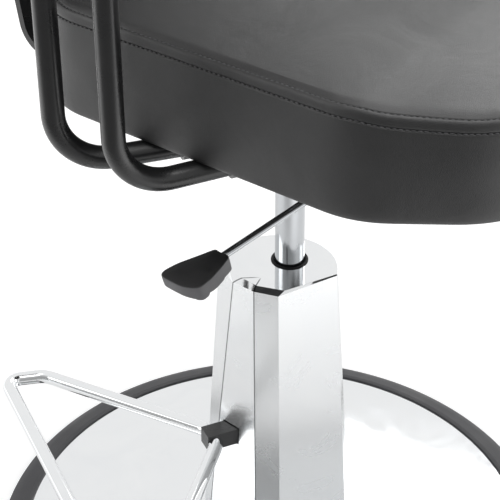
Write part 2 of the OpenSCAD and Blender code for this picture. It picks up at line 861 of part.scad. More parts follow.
// The cushion wraps the board's edge; two seams step its top edge in
module seat_cushion() {
    pocket = board_inset - part_gap;
    soft = seat_edge_soft;
    color(hide) at_column() translate([0, 0, seat_bottom]) cushion(seat_outline, seat_size, seat_mid, [
        [pocket, seat_board_t], [pocket, 0], [soft, 0], [soft / 3, soft / 2], [0, 2 * soft],
        [0, seat_side_h * 0.5], [soft / 4, seat_side_h - soft], [soft / 2, seat_side_h],
        [soft / 2, seat_side_h + soft / 2], [soft, seat_side_h + seam_step],
        [4 * soft, seat_side_h + seam_step + seat_crown * 0.36],
        [12 * soft, seat_side_h + seam_step + seat_crown * 0.76],
        [24 * soft, seat_side_h + seam_step + seat_crown]]);
}

// Armrests
module right_post(y, turn) {
    at_column() translate([-arm_x, y, 0]) rotate([0, 0, -turn]) children();
}

module arm_tube_solid(turn, r, over_end) {
    run = (arm_x - arm_inner_x) / cos(turn) - arm_bend_r;
    translate([0, 0, arm_axis_z + arm_bend_r])
        cylinder(r = r, h = rail_z - arm_axis_z - arm_bend_r + over_end, $fn = round_fn);
    translate([arm_bend_r, 0, arm_axis_z + arm_bend_r]) rotate([90, 0, 0]) rotate([0, 0, 180])
        rotate_extrude(angle = 90, $fn = round_fn) translate([arm_bend_r, 0]) circle(r = r, $fn = round_fn);
    translate([arm_bend_r, 0, arm_axis_z]) rotate([0, 90, 0])
        cylinder(r = r, h = run + over_end, $fn = round_fn);
}

module arm_tube(y, turn) {
    color(paint) right_post(y, turn) difference() {
        arm_tube_solid(turn, arm_tube_r, 0);
        arm_tube_solid(turn, arm_tube_r - arm_wall, over);
    }
}

module left_side() {
    translate([2 * column_offset, 0, 0]) mirror([1, 0, 0]) children();
}

module both_sides() {
    children();
    left_side() children();
}

module right_front_arm_tube() {
    arm_tube(arm_front_y, arm_front_turn);
}

module right_rear_arm_tube() {
    arm_tube(arm_front_y + arm_pitch, arm_rear_turn);
}

module left_front_arm_tube() {
    left_side() arm_tube(arm_front_y, arm_front_turn);
}

module left_rear_arm_tube() {
    left_side() arm_tube(arm_front_y + arm_pitch, arm_rear_turn);
}

module saddle_places() {
    both_sides() {
        for (x = front_saddle_x) right_post(arm_front_y, arm_front_turn)
            translate([(arm_x - x) / cos(arm_front_turn), 0, arm_axis_z]) children();
        for (x = rear_saddle_x) right_post(arm_front_y + arm_pitch, arm_rear_turn)
            translate([(arm_x - x) / cos(arm_rear_turn), 0, arm_axis_z]) children();
    }
}

// A saddle strap that holds a tube up against the board, seen along the tube
module saddle_profile() {
    r = arm_tube_r;
    t = saddle_t;
    difference() {
        union() {
            circle(r = r + t, $fn = round_fn);
            translate([-r - t, 0]) square([2 * (r + t), r]);
            translate([-r - t - saddle_ear, r - t]) square([2 * (r + t + saddle_ear), t]);
        }
        circle(r = r, $fn = round_fn);
        translate([-r, 0]) square([2 * r, r + over]);
        translate([-r - 2 * t, r]) square([2 * r + 4 * t, 2 * t]);
    }
}

module tube_saddles() {
    color(steel) difference() {
        saddle_places() translate([-saddle_l / 2, 0, 0]) rotate([90, 0, 90]) linear_extrude(saddle_l)
            saddle_profile();
        saddle_screw_places() translate([0, 0, -over])
            cylinder(r = screw_r + bolt_clear, h = saddle_t + 2 * over, $fn = small_fn);
    }
}

module saddle_screws() {
    color(steel) saddle_screw_places() screw_up(screw_r, screw_head_r, screw_head_h, saddle_screw_l, small_fn);
}

module tube_plug(turn) {
    run = (arm_x - arm_inner_x) / cos(turn);
    translate([run - 4 * plug_t, 0, arm_axis_z]) rotate([0, 90, 0]) {
        cylinder(r = arm_tube_r - arm_wall, h = 4 * plug_t, $fn = round_fn);
        translate([0, 0, 4 * plug_t]) cylinder(r = arm_tube_r, h = plug_t, $fn = round_fn);
    }
}

module tube_plugs() {
    color(rubber) both_sides() {
        right_post(arm_front_y, arm_front_turn) tube_plug(arm_front_turn);
        right_post(arm_front_y + arm_pitch, arm_rear_turn) tube_plug(arm_rear_turn);
    }
}

module at_arm_rail() {
    at_column() translate([-arm_x, rail_y, rail_z]) children();
}

module pad_screw_places() {
    both_sides() at_arm_rail() for (s = [-1, 1]) translate([0, s * (arm_pad_l - rail_short) / 2.4, 0]) children();
}

module arm_rail() {
    color(paint) difference() {
        at_arm_rail() linear_extrude(rail_t) round_rect(rail_w, arm_pad_l - rail_short, rail_w / 3);
        pad_screw_places() translate([0, 0, -over])
            cylinder(r = screw_r + bolt_clear, h = rail_t + 2 * over, $fn = small_fn);
    }
}

module right_arm_rail() {
    arm_rail();
}

module left_arm_rail() {
    left_side() arm_rail();
}

module arm_pad_boards() {
    in = arm_board_in + part_gap;
    color("burlywood") difference() {
        both_sides() at_arm_rail() translate([0, 0, rail_t]) linear_extrude(arm_board_t)
            polygon(drawn_in(arm_pad_outline, arm_pad_size, 0, in));
        pad_screw_places() cylinder(r = screw_r + bolt_clear, h = rail_t + pad_screw_l, $fn = small_fn);
    }
}

arm_pad_size = [arm_pad_w / 2, arm_pad_l / 2];
arm_pad_outline = round_outline(
    [[arm_pad_size[0], -arm_pad_size[1]], arm_pad_size, [-arm_pad_size[0], arm_pad_size[1]], -arm_pad_size],
    [arm_pad_round, arm_pad_round, arm_pad_round, arm_pad_round]);

module arm_pad() {
    color(hide) at_arm_rail() translate([0, 0, rail_t]) cushion(arm_pad_outline, arm_pad_size, 0, [
        [arm_board_in, arm_board_t], [arm_board_in, 0], [3, 0], [0.6, 3], [0, arm_pad_h * 0.4],
        [1.5, arm_pad_h * 0.7], [6, arm_pad_h * 0.92], [14, arm_pad_h]]);
}

module right_arm_pad() {
    arm_pad();
}

module left_arm_pad() {
    left_side() arm_pad();
}

module arm_pad_screws() {
    color(steel) pad_screw_places() screw_up(screw_r, screw_head_r, screw_head_h, rail_t + pad_screw_l - 1, small_fn);
}

// Backrest straps: flat bars bolted under the board and bent up behind the seat
module strap_form() {
    turn = 90 - back_lean;
    m = [strap_run, strap_bend + strap_t];
    along = [cos(turn), sin(turn)] * strap_up;
    arc = [for (i = [0 : strap_steps]) [sin(turn * i / strap_steps), -cos(turn * i / strap_steps)]];
    low = [for (a = arc) m + (strap_bend + strap_t) * a];
    high = [for (i = [strap_steps : -1 : 0]) m + strap_bend * arc[i]];
    rotate([90, 0, 90]) translate([0, 0, -strap_w / 2]) linear_extrude(strap_w)
        polygon(concat([[0, 0]], low, [low[strap_steps] + along, high[0] + along], high, [[0, strap_t]]));
}

module back_bracket() {
    color(paint) difference() {
        at_column() translate([-strap_x, strap_front_y, seat_bottom - strap_t]) strap_form();
        strap_bolt_places() translate([0, 0, -over])
            cylinder(r = strap_bolt_r + bolt_clear, h = strap_t + 2 * over, $fn = small_fn);
        back_screw_places() translate([0, 0, -over])
            cylinder(r = strap_bolt_r + bolt_clear, h = strap_t + 2 * over, $fn = small_fn);
    }
}

module right_back_bracket() {
    back_bracket();
}

module left_back_bracket() {
    left_side() back_bracket();
}

module bracket_bolts() {
    color(steel) strap_bolt_places()
        screw_up(strap_bolt_r, strap_bolt_r * 1.6, strap_bolt_r, strap_t + strap_bolt_l - 1, 6);
}

// The backrest's frame: origin on the front face of the straps, its own z along the lean
module at_back() {
    at_column() translate([0, strap_front_y + strap_run, seat_bottom + strap_bend])
        rotate([-back_lean, 0, 0]) translate([0, strap_bend, 0]) children();
}

module back_screw_places() {
    at_back() for (s = [-1, 1], z = [strap_up - strap_w / 2, strap_up - 3 * strap_w])
        translate([s * strap_x, strap_t, z]) rotate([90, 0, 0]) children();
}

back_size = [back_w / 2, back_h / 2];
back_outline = round_outline(
    [[back_size[0], -back_size[1]], back_size, [-back_size[0], back_size[1]], -back_size],
    [back_round, back_round, back_round, back_round]);

module at_back_middle() {
    at_back() translate([0, 0, back_low + back_h / 2]) rotate([90, 0, 0]) children();
}

module back_board() {
    in = back_board_in + part_gap;
    color("burlywood") difference() {
        at_back_middle() linear_extrude(back_board_t)
            polygon(drawn_in(back_outline, back_size, 0, in));
        back_screw_places() cylinder(r = strap_bolt_r + bolt_clear, h = strap_t + back_screw_l, $fn = small_fn);
    }
}

module back_cushion() {
    t = back_board_t;
    color(hide) at_back_middle() cushion(back_outline, back_size, 0, [
        [back_board_in, t], [back_board_in, 0], [6, 0], [1.5, 3], [0, t], [0, t + back_t * 0.5],
        [2, t + back_t * 0.72], [4, t + back_t * 0.8], [20, t + back_t * 0.8 + back_crown * 0.35],
        [60, t + back_t * 0.8 + back_crown * 0.8], [110, t + back_t * 0.8 + back_crown]]);
}

module back_screws() {
    color(steel) back_screw_places()
        screw_up(strap_bolt_r, strap_bolt_r * 1.6, strap_bolt_r, strap_t + back_screw_l - 1, 6);
}

floor_pad();
ballast();
rubber_ring();
base_disc();
socket_flange();
flange_bolts();
stand_tube();
guide_bush();
lower_race();
bearing_cage();
cover();
cover_seal();
footrest();
foot_clamp();
clamp_bolts();
upper_race();
piston_rod();
piston();
rod_clip();
column();
rod_guide();
taper_socket();
seat_pan();
shaft_brackets();
pan_bolts();
release_pin();
lever_shaft();
lever_rod();
paddle();
seat_board();
seat_cushion();
right_front_arm_tube();
right_rear_arm_tube();
left_front_arm_tube();
left_rear_arm_tube();
tube_saddles();
saddle_screws();
tube_plugs();
right_arm_rail();
left_arm_rail();
arm_pad_boards();
right_arm_pad();
left_arm_pad();
arm_pad_screws();
right_back_bracket();
left_back_bracket();
bracket_bolts();
back_board();
back_cushion();
back_screws();
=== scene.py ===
from math import acos, atan2, cos, pi, radians, sin, tan

import bmesh
import bpy
import numpy as np
from mathutils import Matrix, Vector


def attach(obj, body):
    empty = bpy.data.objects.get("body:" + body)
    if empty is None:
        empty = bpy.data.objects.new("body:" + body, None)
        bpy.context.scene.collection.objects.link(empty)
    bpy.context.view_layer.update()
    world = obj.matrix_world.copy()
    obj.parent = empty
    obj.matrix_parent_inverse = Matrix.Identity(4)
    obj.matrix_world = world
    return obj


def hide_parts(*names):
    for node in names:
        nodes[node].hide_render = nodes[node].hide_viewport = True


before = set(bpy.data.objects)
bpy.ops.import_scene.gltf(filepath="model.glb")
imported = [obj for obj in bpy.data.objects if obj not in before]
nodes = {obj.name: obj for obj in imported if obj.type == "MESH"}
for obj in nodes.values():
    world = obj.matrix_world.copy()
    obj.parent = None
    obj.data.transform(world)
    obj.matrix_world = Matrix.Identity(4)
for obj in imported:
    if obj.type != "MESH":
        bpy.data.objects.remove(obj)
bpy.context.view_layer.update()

# ---------------------------------------------------------------- studio
# A white sweep under soft daylight boxes, as a shop's product picture is taken. The camera
# stands at the chair's front right, above the seat, with a long lens.
scene = bpy.context.scene
scene.view_settings.view_transform = "Standard"


def colour(code):
    """A linear RGBA colour from an sRGB hex string."""
    c = np.array([int(code[i:i + 2], 16) for i in (1, 3, 5)]) / 255
    c = np.where(c <= 0.04045, c / 12.92, ((c + 0.055) / 1.055) ** 2.4)
    return (*c.tolist(), 1.0)


def node(tree, kind, inputs=None, **settings):
    """Adds one shader node: settings are its own options, inputs are values or sockets to link."""
    made = tree.nodes.new(kind)
    for name, value in settings.items():
        setattr(made, name, value)
    for name, value in (inputs or {}).items():
        if isinstance(value, bpy.types.NodeSocket):
            tree.links.new(value, made.inputs[name])
        else:
            made.inputs[name].default_value = value
    return made


def surface(name, base, rough, metal=0.0, **settings):
    """A new material whose Principled shader has that colour, roughness and metallic. Gives the
    material, its node tree, the shader and the socket of places on the piece."""
    made = bpy.data.materials.new(name)
    made.use_nodes = True
    tree = made.node_tree
    face = tree.nodes["Principled BSDF"]
    face.inputs["Base Color"].default_value = colour(base)
    face.inputs["Roughness"].default_value = rough
    face.inputs["Metallic"].default_value = metal
    for key, value in settings.items():
        face.inputs[key.replace("_", " ")].default_value = value
    return made, tree, face, node(tree, "ShaderNodeTexCoord").outputs["Object"]


def noise(tree, place, scale, detail, **more):
    """The value of a noise texture."""
    return node(tree, "ShaderNodeTexNoise", {"Vector": place, "Scale": scale, "Detail": detail, **more}).outputs[0]


def two_tone(tree, value, low, high):
    """The colour between two hex colours that a value from 0 to 1 picks."""
    ramp = node(tree, "ShaderNodeValToRGB", {0: value})
    ramp.color_ramp.elements[0].color, ramp.color_ramp.elements[1].color = colour(low), colour(high)
    return ramp.outputs[0]


def between(tree, value, low, high, start=0.0, end=1.0, **settings):
    """A number that goes from low to high as the value goes from start to end."""
    return node(tree, "ShaderNodeMapRange", {"Value": value, "From Min": start, "From Max": end,
                                             "To Min": low, "To Max": high}, **settings).outputs[0]


def calc(tree, operation, *values):
    """The result of an operation on numbers."""
    return node(tree, "ShaderNodeMath", dict(enumerate(values)), operation=operation).outputs[0]


def dot(tree, place, direction):
    """How far a place lies in a direction."""
    return node(tree, "ShaderNodeVectorMath", {0: place, 1: direction}, operation="DOT_PRODUCT").outputs["Value"]


def normal_z(tree):
    """The upright part of a face's normal."""
    facing = node(tree, "ShaderNodeNewGeometry")
    return node(tree, "ShaderNodeSeparateXYZ", {0: facing.outputs["Normal"]}).outputs["Z"]


def relief(tree, height, strength, distance, **more):
    """A normal bent by a height."""
    return node(tree, "ShaderNodeBump", {"Height": height, "Strength": strength, "Distance": distance,
                                         **more}).outputs[0]


def feed(tree, face, **sockets):
    """Links sockets to the shader's inputs of those names."""
    for key, socket in sockets.items():
        tree.links.new(socket, face.inputs[key.replace("_", " ")])


def white_light(tree, kind, strength):
    """White light: an emission, or a background."""
    return node(tree, "ShaderNode" + kind, {"Color": colour("#ffffff"), "Strength": strength}).outputs[0]


def mixed(tree, share, one, other):
    """A shader between two others."""
    return node(tree, "ShaderNodeMixShader", {0: share, 1: one, 2: other}).outputs[0]


heading, pitch, roll = radians(49.42), radians(33.42), radians(-1.75)
across = Vector((cos(heading), -sin(heading), 0))
ahead = Vector((sin(heading) * cos(pitch), cos(heading) * cos(pitch), -sin(pitch)))
above = across.cross(ahead)
right = across * cos(roll) + above * sin(roll)
up = above * cos(roll) - across * sin(roll)
lens = bpy.data.cameras.new("Camera")
lens.sensor_width, lens.lens, lens.shift_x = 36, 1631 / 500 * 36, 0.12
camera = bpy.data.objects.new("Camera", lens)
camera.matrix_world = Matrix((
    (right.x, up.x, -ahead.x, -1.0090), (right.y, up.y, -ahead.y, -0.7628),
    (right.z, up.z, -ahead.z, 1.1909), (0, 0, 0, 1)))
lens.clip_start, lens.clip_end = 0.05, 50
scene.collection.objects.link(camera)
scene.camera = camera

# Daylight from all round for the surfaces; plain white to the eye and through glass. To gloss it is
# white too, apart from a soft grey card that stands to the chair's right front, at a fixed bearing.
card_bearing = (-0.92, -0.39, 0)
world = bpy.data.worlds.new("Daylight")
world.use_nodes = True
scene.world = world
sky = world.node_tree
sky.nodes.clear()
seen = node(sky, "ShaderNodeLightPath").outputs
clear = calc(sky, "MAXIMUM", seen["Is Camera Ray"], seen["Is Transmission Ray"])
to_card = dot(sky, node(sky, "ShaderNodeTexCoord").outputs["Generated"], card_bearing)
grey_card = between(sky, to_card, 1.0, 0.4, 0.2, 0.9, interpolation_type="SMOOTHSTEP")
sky_near = mixed(sky, seen["Is Glossy Ray"], white_light(sky, "Background", 0.5),
                 white_light(sky, "Background", grey_card))
sky_mix = mixed(sky, clear, sky_near, white_light(sky, "Background", 1.0))
node(sky, "ShaderNodeOutputWorld", {"Surface": sky_mix})

for name, place, aim, size, power in (
        ("Overhead box", (-0.3, -0.6, 3.2), (0, 0, 0.5), 2.2, 30),
        ("Left box", (-2.3, 1.7, 1.5), (0, 0, 0.5), 1.6, 15),
        ("Right box", (2.2, -2.0, 1.4), (0, 0, 0.5), 1.6, 15),
        ("Back box", (2.9, 0.8, 2.6), (0, 0, 0.6), 1.6, 42)):
    lamp = bpy.data.lights.new(name, "AREA")
    lamp.shape, lamp.size, lamp.energy = "SQUARE", size, power
    box = bpy.data.objects.new(name, lamp)
    box.location = place
    box.rotation_euler = (Vector(aim) - Vector(place)).to_track_quat("-Z", "Y").to_euler()
    scene.collection.objects.link(box)


def build(name, points, faces, body=None, finish=None, slot=None, stands_for=(), crease=40):
    """A piece from vertices and faces: doubles merged, normals outward, smooth up to the crease angle."""
    mesh = bpy.data.meshes.new(name)
    mesh.from_pydata(np.asarray(points, float).reshape(-1, 3).tolist(), [], np.asarray(faces).tolist())
    work = bmesh.new()
    work.from_mesh(mesh)
    bmesh.ops.remove_doubles(work, verts=work.verts, dist=2e-6)
    bmesh.ops.dissolve_degenerate(work, edges=work.edges, dist=1e-7)
    bmesh.ops.recalc_face_normals(work, faces=work.faces)
    work.to_mesh(mesh)
    work.free()
    mesh.shade_smooth()
    mesh.set_sharp_from_angle(angle=radians(crease))
    piece = bpy.data.objects.new(name, mesh)
    scene.collection.objects.link(piece)
    if finish:
        mesh.materials.append(finish)
    if body:
        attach(piece, body)
    if stands_for:
        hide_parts(*stands_for)
    return piece


def quads(rows, columns, loop_rows=False, loop_columns=True):
    """Faces that join neighbours on a grid of points with that many rows and columns."""
    r = np.arange(rows if loop_rows else rows - 1)[:, None]
    c = np.arange(columns if loop_columns else columns - 1)[None, :]
    r2, c2 = (r + 1) % rows, (c + 1) % columns
    return np.stack([r * columns + c, r * columns + c2, r2 * columns + c2, r2 * columns + c], -1).reshape(-1, 4)


sweep_half = 30
sweep = build("floor", [(x * sweep_half, y * sweep_half, 0) for x, y in ((-1, -1), (1, -1), (1, 1), (-1, 1))],
              [(0, 1, 2, 3)])

# Matt white paper. It is lit from within, so that it shows white where no shadow falls. To gloss it
# shows the grey card too, where that lies on it, and two white cards, one behind on the sitter's right
# and one in front, give the seat's sides their gloss. Far out it is as white as what lies behind it.
paper, tree, face, place = surface("White paper sweep", "#f2f2f2", 0.9, Specular_IOR_Level=0.0)
seen = node(tree, "ShaderNodeLightPath").outputs
to_eye = calc(tree, "MULTIPLY_ADD", seen["Is Camera Ray"], 0.16, 0.18)
cards = [between(tree, dot(tree, place, towards), 0.0, strength, 0.5, 1.0)
         for towards, strength in (((-0.66, 0.75, 0), 0.5), ((-0.34, -0.94, 0), 1.1))]
to_both = calc(tree, "MULTIPLY_ADD", seen["Is Glossy Ray"], calc(tree, "ADD", *cards), to_eye)
lit = node(tree, "ShaderNodeAddShader", {0: face.outputs[0], 1: white_light(tree, "Emission", to_both)})
on_card = between(tree, dot(tree, place, card_bearing), 0.0, 1.0, 0.45, 0.95, interpolation_type="SMOOTHSTEP")
dim = calc(tree, "MULTIPLY", on_card, seen["Is Glossy Ray"])
near = mixed(tree, dim, lit.outputs[0], white_light(tree, "Emission", 0.32))
far = node(tree, "ShaderNodeVectorMath", {0: place}, operation="LENGTH").outputs["Value"]
fade = between(tree, far, 0.0, 1.0, 1.3, 3.2, interpolation_type="SMOOTHSTEP")
shown = mixed(tree, calc(tree, "MULTIPLY", fade, seen["Is Camera Ray"]), near, white_light(tree, "Emission", 1.0))
tree.links.new(shown, tree.nodes["Material Output"].inputs["Surface"])
sweep.data.materials.append(paper)

# ---------------------------------------------------------------- floor pad and ballast
# What holds the chair down: an iron plate cast in sand and painted black, under the chrome disc, on
# a round pad of black sponge rubber that stands on the floor. Four bolts go down into its hub.


def dress(finish, *names):
    """Gives CAD nodes their finish, with smooth faces that break only at real edges."""
    for name in names:
        made = nodes[name]
        made.data.materials.clear()
        made.data.materials.append(finish)
        made.data.shade_smooth()
        weld = made.modifiers.new("Weld", "WELD")
        weld.merge_threshold = 1e-6
        split = made.modifiers.new("Edges", "EDGE_SPLIT")
        split.split_angle = radians(28)
        split.use_edge_sharp = False


# Sand-cast iron under black enamel: a dull black skin, pebbled at about 1.5 mm by the sand.
cast_iron, tree, face, place = surface("Painted sand-cast iron", "#1b1b1d", 0.6)
sand = noise(tree, place, 650.0, 3.0)
feed(tree, face, Base_Color=two_tone(tree, sand, "#161618", "#232326"), Normal=relief(tree, sand, 0.5, 0.0006))

# Sponge rubber: matt charcoal, with cells of about 1 mm cut open at its faces.
sponge, tree, face, place = surface("Cut sponge rubber", "#2a2a2b", 0.9)
cells = node(tree, "ShaderNodeTexVoronoi", {"Vector": place, "Scale": 900.0}).outputs["Distance"]
feed(tree, face, Base_Color=two_tone(tree, cells, "#1c1c1d", "#343435"), Normal=relief(tree, cells, 0.6, 0.0005))

dress(cast_iron, "ballast")
dress(sponge, "floor_pad")

# ---------------------------------------------------------------- rubber ring
# The bumper round the base: a moulded ring of black rubber, stretched over the rim of the disc. Its
# outer lip rests on the floor, and its top slopes up to cover the disc's cut edge.


def rounded(corners, radii, steps=10):
    """A closed path whose corners are arcs: at each corner an arc of its radius touches both sides."""
    corners = np.asarray(corners, float)
    parts = []
    for i, r in enumerate(radii):
        b = corners[i]
        u, v = corners[i - 1] - b, corners[(i + 1) % len(corners)] - b
        u, v = u / np.linalg.norm(u), v / np.linalg.norm(v)
        half = acos(np.clip(u @ v, -1, 1)) / 2
        middle = b + (u + v) / np.linalg.norm(u + v) * r / sin(half)
        start, end = b + u * r / tan(half) - middle, b + v * r / tan(half) - middle
        turn = atan2(start[0] * end[1] - start[1] * end[0], start @ end)
        a = atan2(start[1], start[0]) + np.linspace(0, turn, steps)
        parts.append(middle + r * np.stack([np.cos(a), np.sin(a)], -1))
    return np.concatenate(parts)


def turned(profile, x=0.0, around=240):
    """A turned form: each (radius, height) of the profile carried once round the upright line at x."""
    r, z = np.asarray(profile, float).T
    a = np.linspace(0, 2 * pi, around, endpoint=False)
    return np.stack([x + r[:, None] * np.cos(a), r[:, None] * np.sin(a), z[:, None] + 0 * a], -1)


def turn_up(name, profile, x=0.0, around=240, **facts):
    """A turned piece from a closed profile."""
    return build(name, turned(profile, x, around), quads(len(profile), around, loop_rows=True), **facts)


disc_r = 0.256
ring_profile = rounded(
    [(disc_r, 0), (0.2835, 0), (0.285, 0.0045), (0.2838, 0.0085), (0.2745, 0.0142), (0.2605, 0.0185),
     (disc_r, 0.0182)],
    [0.0002, 0.002, 0.004, 0.003, 0.030, 0.0012, 0.0008], 6)

# Moulded black rubber that has bloomed a little: dark grey, satin, with 0.5 mm mould grain, faint
# patches where hands and shoes have rubbed it, and a soft sheen at the edge.
rubber_finish, tree, face, place = surface("Moulded bumper rubber", "#3b3b3d", 0.55, Specular_IOR_Level=0.42)
grain, rubbed = noise(tree, place, 1900.0, 2.0), noise(tree, place, 26.0, 4.0)
feed(tree, face, Base_Color=two_tone(tree, rubbed, "#373739", "#434346"),
     Roughness=between(tree, rubbed, 0.48, 0.66, 0.3, 0.7), Normal=relief(tree, grain, 0.35, 0.0003))

turn_up("bumper_ring", ring_profile, around=320, body="base", finish=rubber_finish, slot="rubber",
        stands_for=["rubber_ring"])

# ---------------------------------------------------------------- chrome disc
# The base plate's cover: one round of steel sheet, pressed into a shallow dome that flattens at the
# middle, polished and chrome plated. The stand tube comes up through it, off centre.
column_x = 0.026
share = np.linspace(0, 1, 30)
dome = np.stack([disc_r - (disc_r - 0.1) * share, 0.0165 + 0.0175 * np.sin(share * pi / 2)], -1)
upper = np.concatenate([[(disc_r, 0.003)], dome])
lower = np.concatenate([[(disc_r - 0.003, 0.003)], dome * [(disc_r - 0.003) / disc_r, 1] - [0, 0.003]])[::-1]
disc_grid = np.concatenate([
    turned(upper, 0, 240), turned([(0.025, 0.034), (0.025, 0.031)], column_x, 240), turned(lower, 0, 240)])


def polished_chrome(name, haze, smear, bright="#eceded", dim="#e2e4e6"):
    """Chrome over buffed steel: haze is its lowest roughness, smear how far wiping adds to it, and
    bright and dim are its colours where it is clean and where it is wiped."""
    made, tree, face, place = surface(name, bright, haze, 1.0)
    wiped = noise(tree, place, 14.0, 6.0, Roughness=0.62, Distortion=1.2)
    fine = noise(tree, place, 320.0, 2.0)
    feed(tree, face, Base_Color=two_tone(tree, wiped, bright, dim),
         Roughness=between(tree, wiped, haze, haze + smear, 0.42, 0.75), Normal=relief(tree, fine, 0.04, 0.0002))
    return made


# Chrome on a large pressed sheet: mirror bright, with hazy patches left by wiping.
plate_chrome = polished_chrome("Chrome plated pressed steel", 0.07, 0.10)
build("chrome_disc", disc_grid, quads(len(disc_grid), 240, loop_rows=True), body="base",
      finish=plate_chrome, slot="chrome", stands_for=["base_disc"], crease=30)

# ---------------------------------------------------------------- stand tube and its flange
# The post that the gas spring slides in: a drawn steel tube welded into a flanged socket, which four
# hexagon bolts pull down onto the ballast. An acetal bush at its mouth guides the column.

# Bright zinc plating on steel: cool grey, with the blotchy sheen that the bath leaves.
zinc, tree, face, place = surface("Zinc plated steel", "#b4b8bc", 0.32, 1.0)
bath = noise(tree, place, 180.0, 4.0)
feed(tree, face, Base_Color=two_tone(tree, bath, "#a5a9ae", "#c6c9cb"), Roughness=between(tree, bath, 0.22, 0.48))

# Powder coat baked on steel: satin black, with an orange peel of about 2 mm.
powder, tree, face, place = surface("Black powder coat", "#131314", 0.28, Specular_IOR_Level=0.65)
peel, dust = noise(tree, place, 520.0, 1.0), noise(tree, place, 45.0, 5.0)
feed(tree, face, Base_Color=two_tone(tree, dust, "#131314", "#19191a"),
     Roughness=between(tree, dust, 0.24, 0.34, 0.3, 0.7), Normal=relief(tree, peel, 0.22, 0.0003))

# Turned acetal: waxy off-white, with tool rings 0.4 mm apart up its height.
acetal, tree, face, place = surface("Turned acetal", "#dcd6c6", 0.45, Subsurface_Weight=0.05)
rings = node(tree, "ShaderNodeTexWave", {"Vector": place, "Scale": 390.0}, bands_direction="Z").outputs[0]
feed(tree, face, Base_Color=two_tone(tree, rings, "#d6d0bf", "#e2dccd"), Normal=relief(tree, rings, 0.2, 0.0001))

dress(zinc, "socket_flange", "flange_bolts")
dress(powder, "stand_tube")
dress(acetal, "guide_bush")

# ---------------------------------------------------------------- swivel bearing
# Under the gas spring's rod: a ball thrust bearing of two hardened washers and a pressed brass cage,
# which carries the seat's weight and lets it turn.

# Ground bearing steel: nearly white, with grinding marks in rings 0.3 mm apart round the axis.
ground, tree, face, place = surface("Ground bearing steel", "#cfd1d3", 0.16, 1.0)
centre = node(tree, "ShaderNodeMapping", {"Vector": place, "Location": (-column_x, 0, 0)}).outputs[0]
marks = node(tree, "ShaderNodeTexWave", {"Vector": centre, "Scale": 520.0}, wave_type="RINGS",
             rings_direction="Z").outputs[0]
feed(tree, face, Roughness=between(tree, marks, 0.12, 0.26), Normal=relief(tree, marks, 0.12, 0.0001))

# Pressed brass: warm yellow metal, mottled where grease has darkened it.
brass, tree, face, place = surface("Pressed brass", "#c9a653", 0.3, 1.0)
feed(tree, face, Base_Color=two_tone(tree, noise(tree, place, 260.0, 4.0), "#a88436", "#d9bb6c"))

dress(ground, "lower_race", "upper_race")
dress(brass, "bearing_cage")

# ---------------------------------------------------------------- cover
# The tapered shroud round the stand tube: steel sheet formed round the back and folded to four
# flats in front, its top welded on with a bevelled edge, then buffed and chrome plated.
cover_wall, cover_foot, cover_top, mouth_r = 0.0025, 0.034, 0.331, 0.0172
bevel_slope = 0.45


def cover_row(radius, flats, height, inset=0.0):
    """The cover's plan at a height: a circle cut by four flats, each at a distance from the middle.
    It goes clockwise, along the arc and then along the flats, whose corners are where two lines meet."""
    radius, flats = radius - inset, np.asarray(flats) - inset
    bearing = np.radians([-113.6, -160, -185, -208.3])
    normal = np.stack([np.cos(bearing), np.sin(bearing)], -1)
    a = np.linspace(bearing[3] + 2 * pi - acos(flats[3] / radius), bearing[0] + acos(flats[0] / radius), 181)
    arc = radius * np.stack([np.cos(a), np.sin(a)], -1)
    corners = [arc[-1]] + [np.linalg.solve(normal[i:i + 2], flats[i:i + 2]) for i in range(3)] + [arc[0]]
    sides = [start + np.linspace(0, 1, count + 1)[1:, None] * (end - start)
             for start, end, count in zip(corners, corners[1:], (40, 20, 20, 30))]
    plan = np.concatenate([arc, *sides])[:-1] + [0.0077, 0.0004]
    return np.c_[plan, np.full(len(plan), height)]


foot_form, fold_form = (0.0744, [0.0556, 0.0582, 0.0545, 0.0673]), (0.0567, [0.0378, 0.0408, 0.0414, 0.0455])
top_form = (0.0563, [0.0363, 0.0345, 0.0352, 0.0436])
foot_row, fold_row = cover_row(*foot_form, cover_foot), cover_row(*fold_form, cover_top)
top_row = cover_row(*top_form, cover_top)
fold_row[:, 2] -= bevel_slope * np.linalg.norm(fold_row - top_row, axis=1)
lean = np.arctan2(top_row[:, 1], top_row[:, 0] - column_x)
mouth = np.stack([column_x + mouth_r * np.cos(lean), mouth_r * np.sin(lean), top_row[:, 2]], -1)
inner = [cover_row(*top_form, cover_top - cover_wall, cover_wall),
         cover_row(*fold_form, fold_row[:, 2] - cover_wall, cover_wall),
         cover_row(*foot_form, cover_foot, cover_wall)]
cover_grid = np.stack([*(foot_row + s * (fold_row - foot_row) for s in np.linspace(0, 1, 30)), top_row, mouth,
                       mouth - [0, 0, cover_wall], *inner])

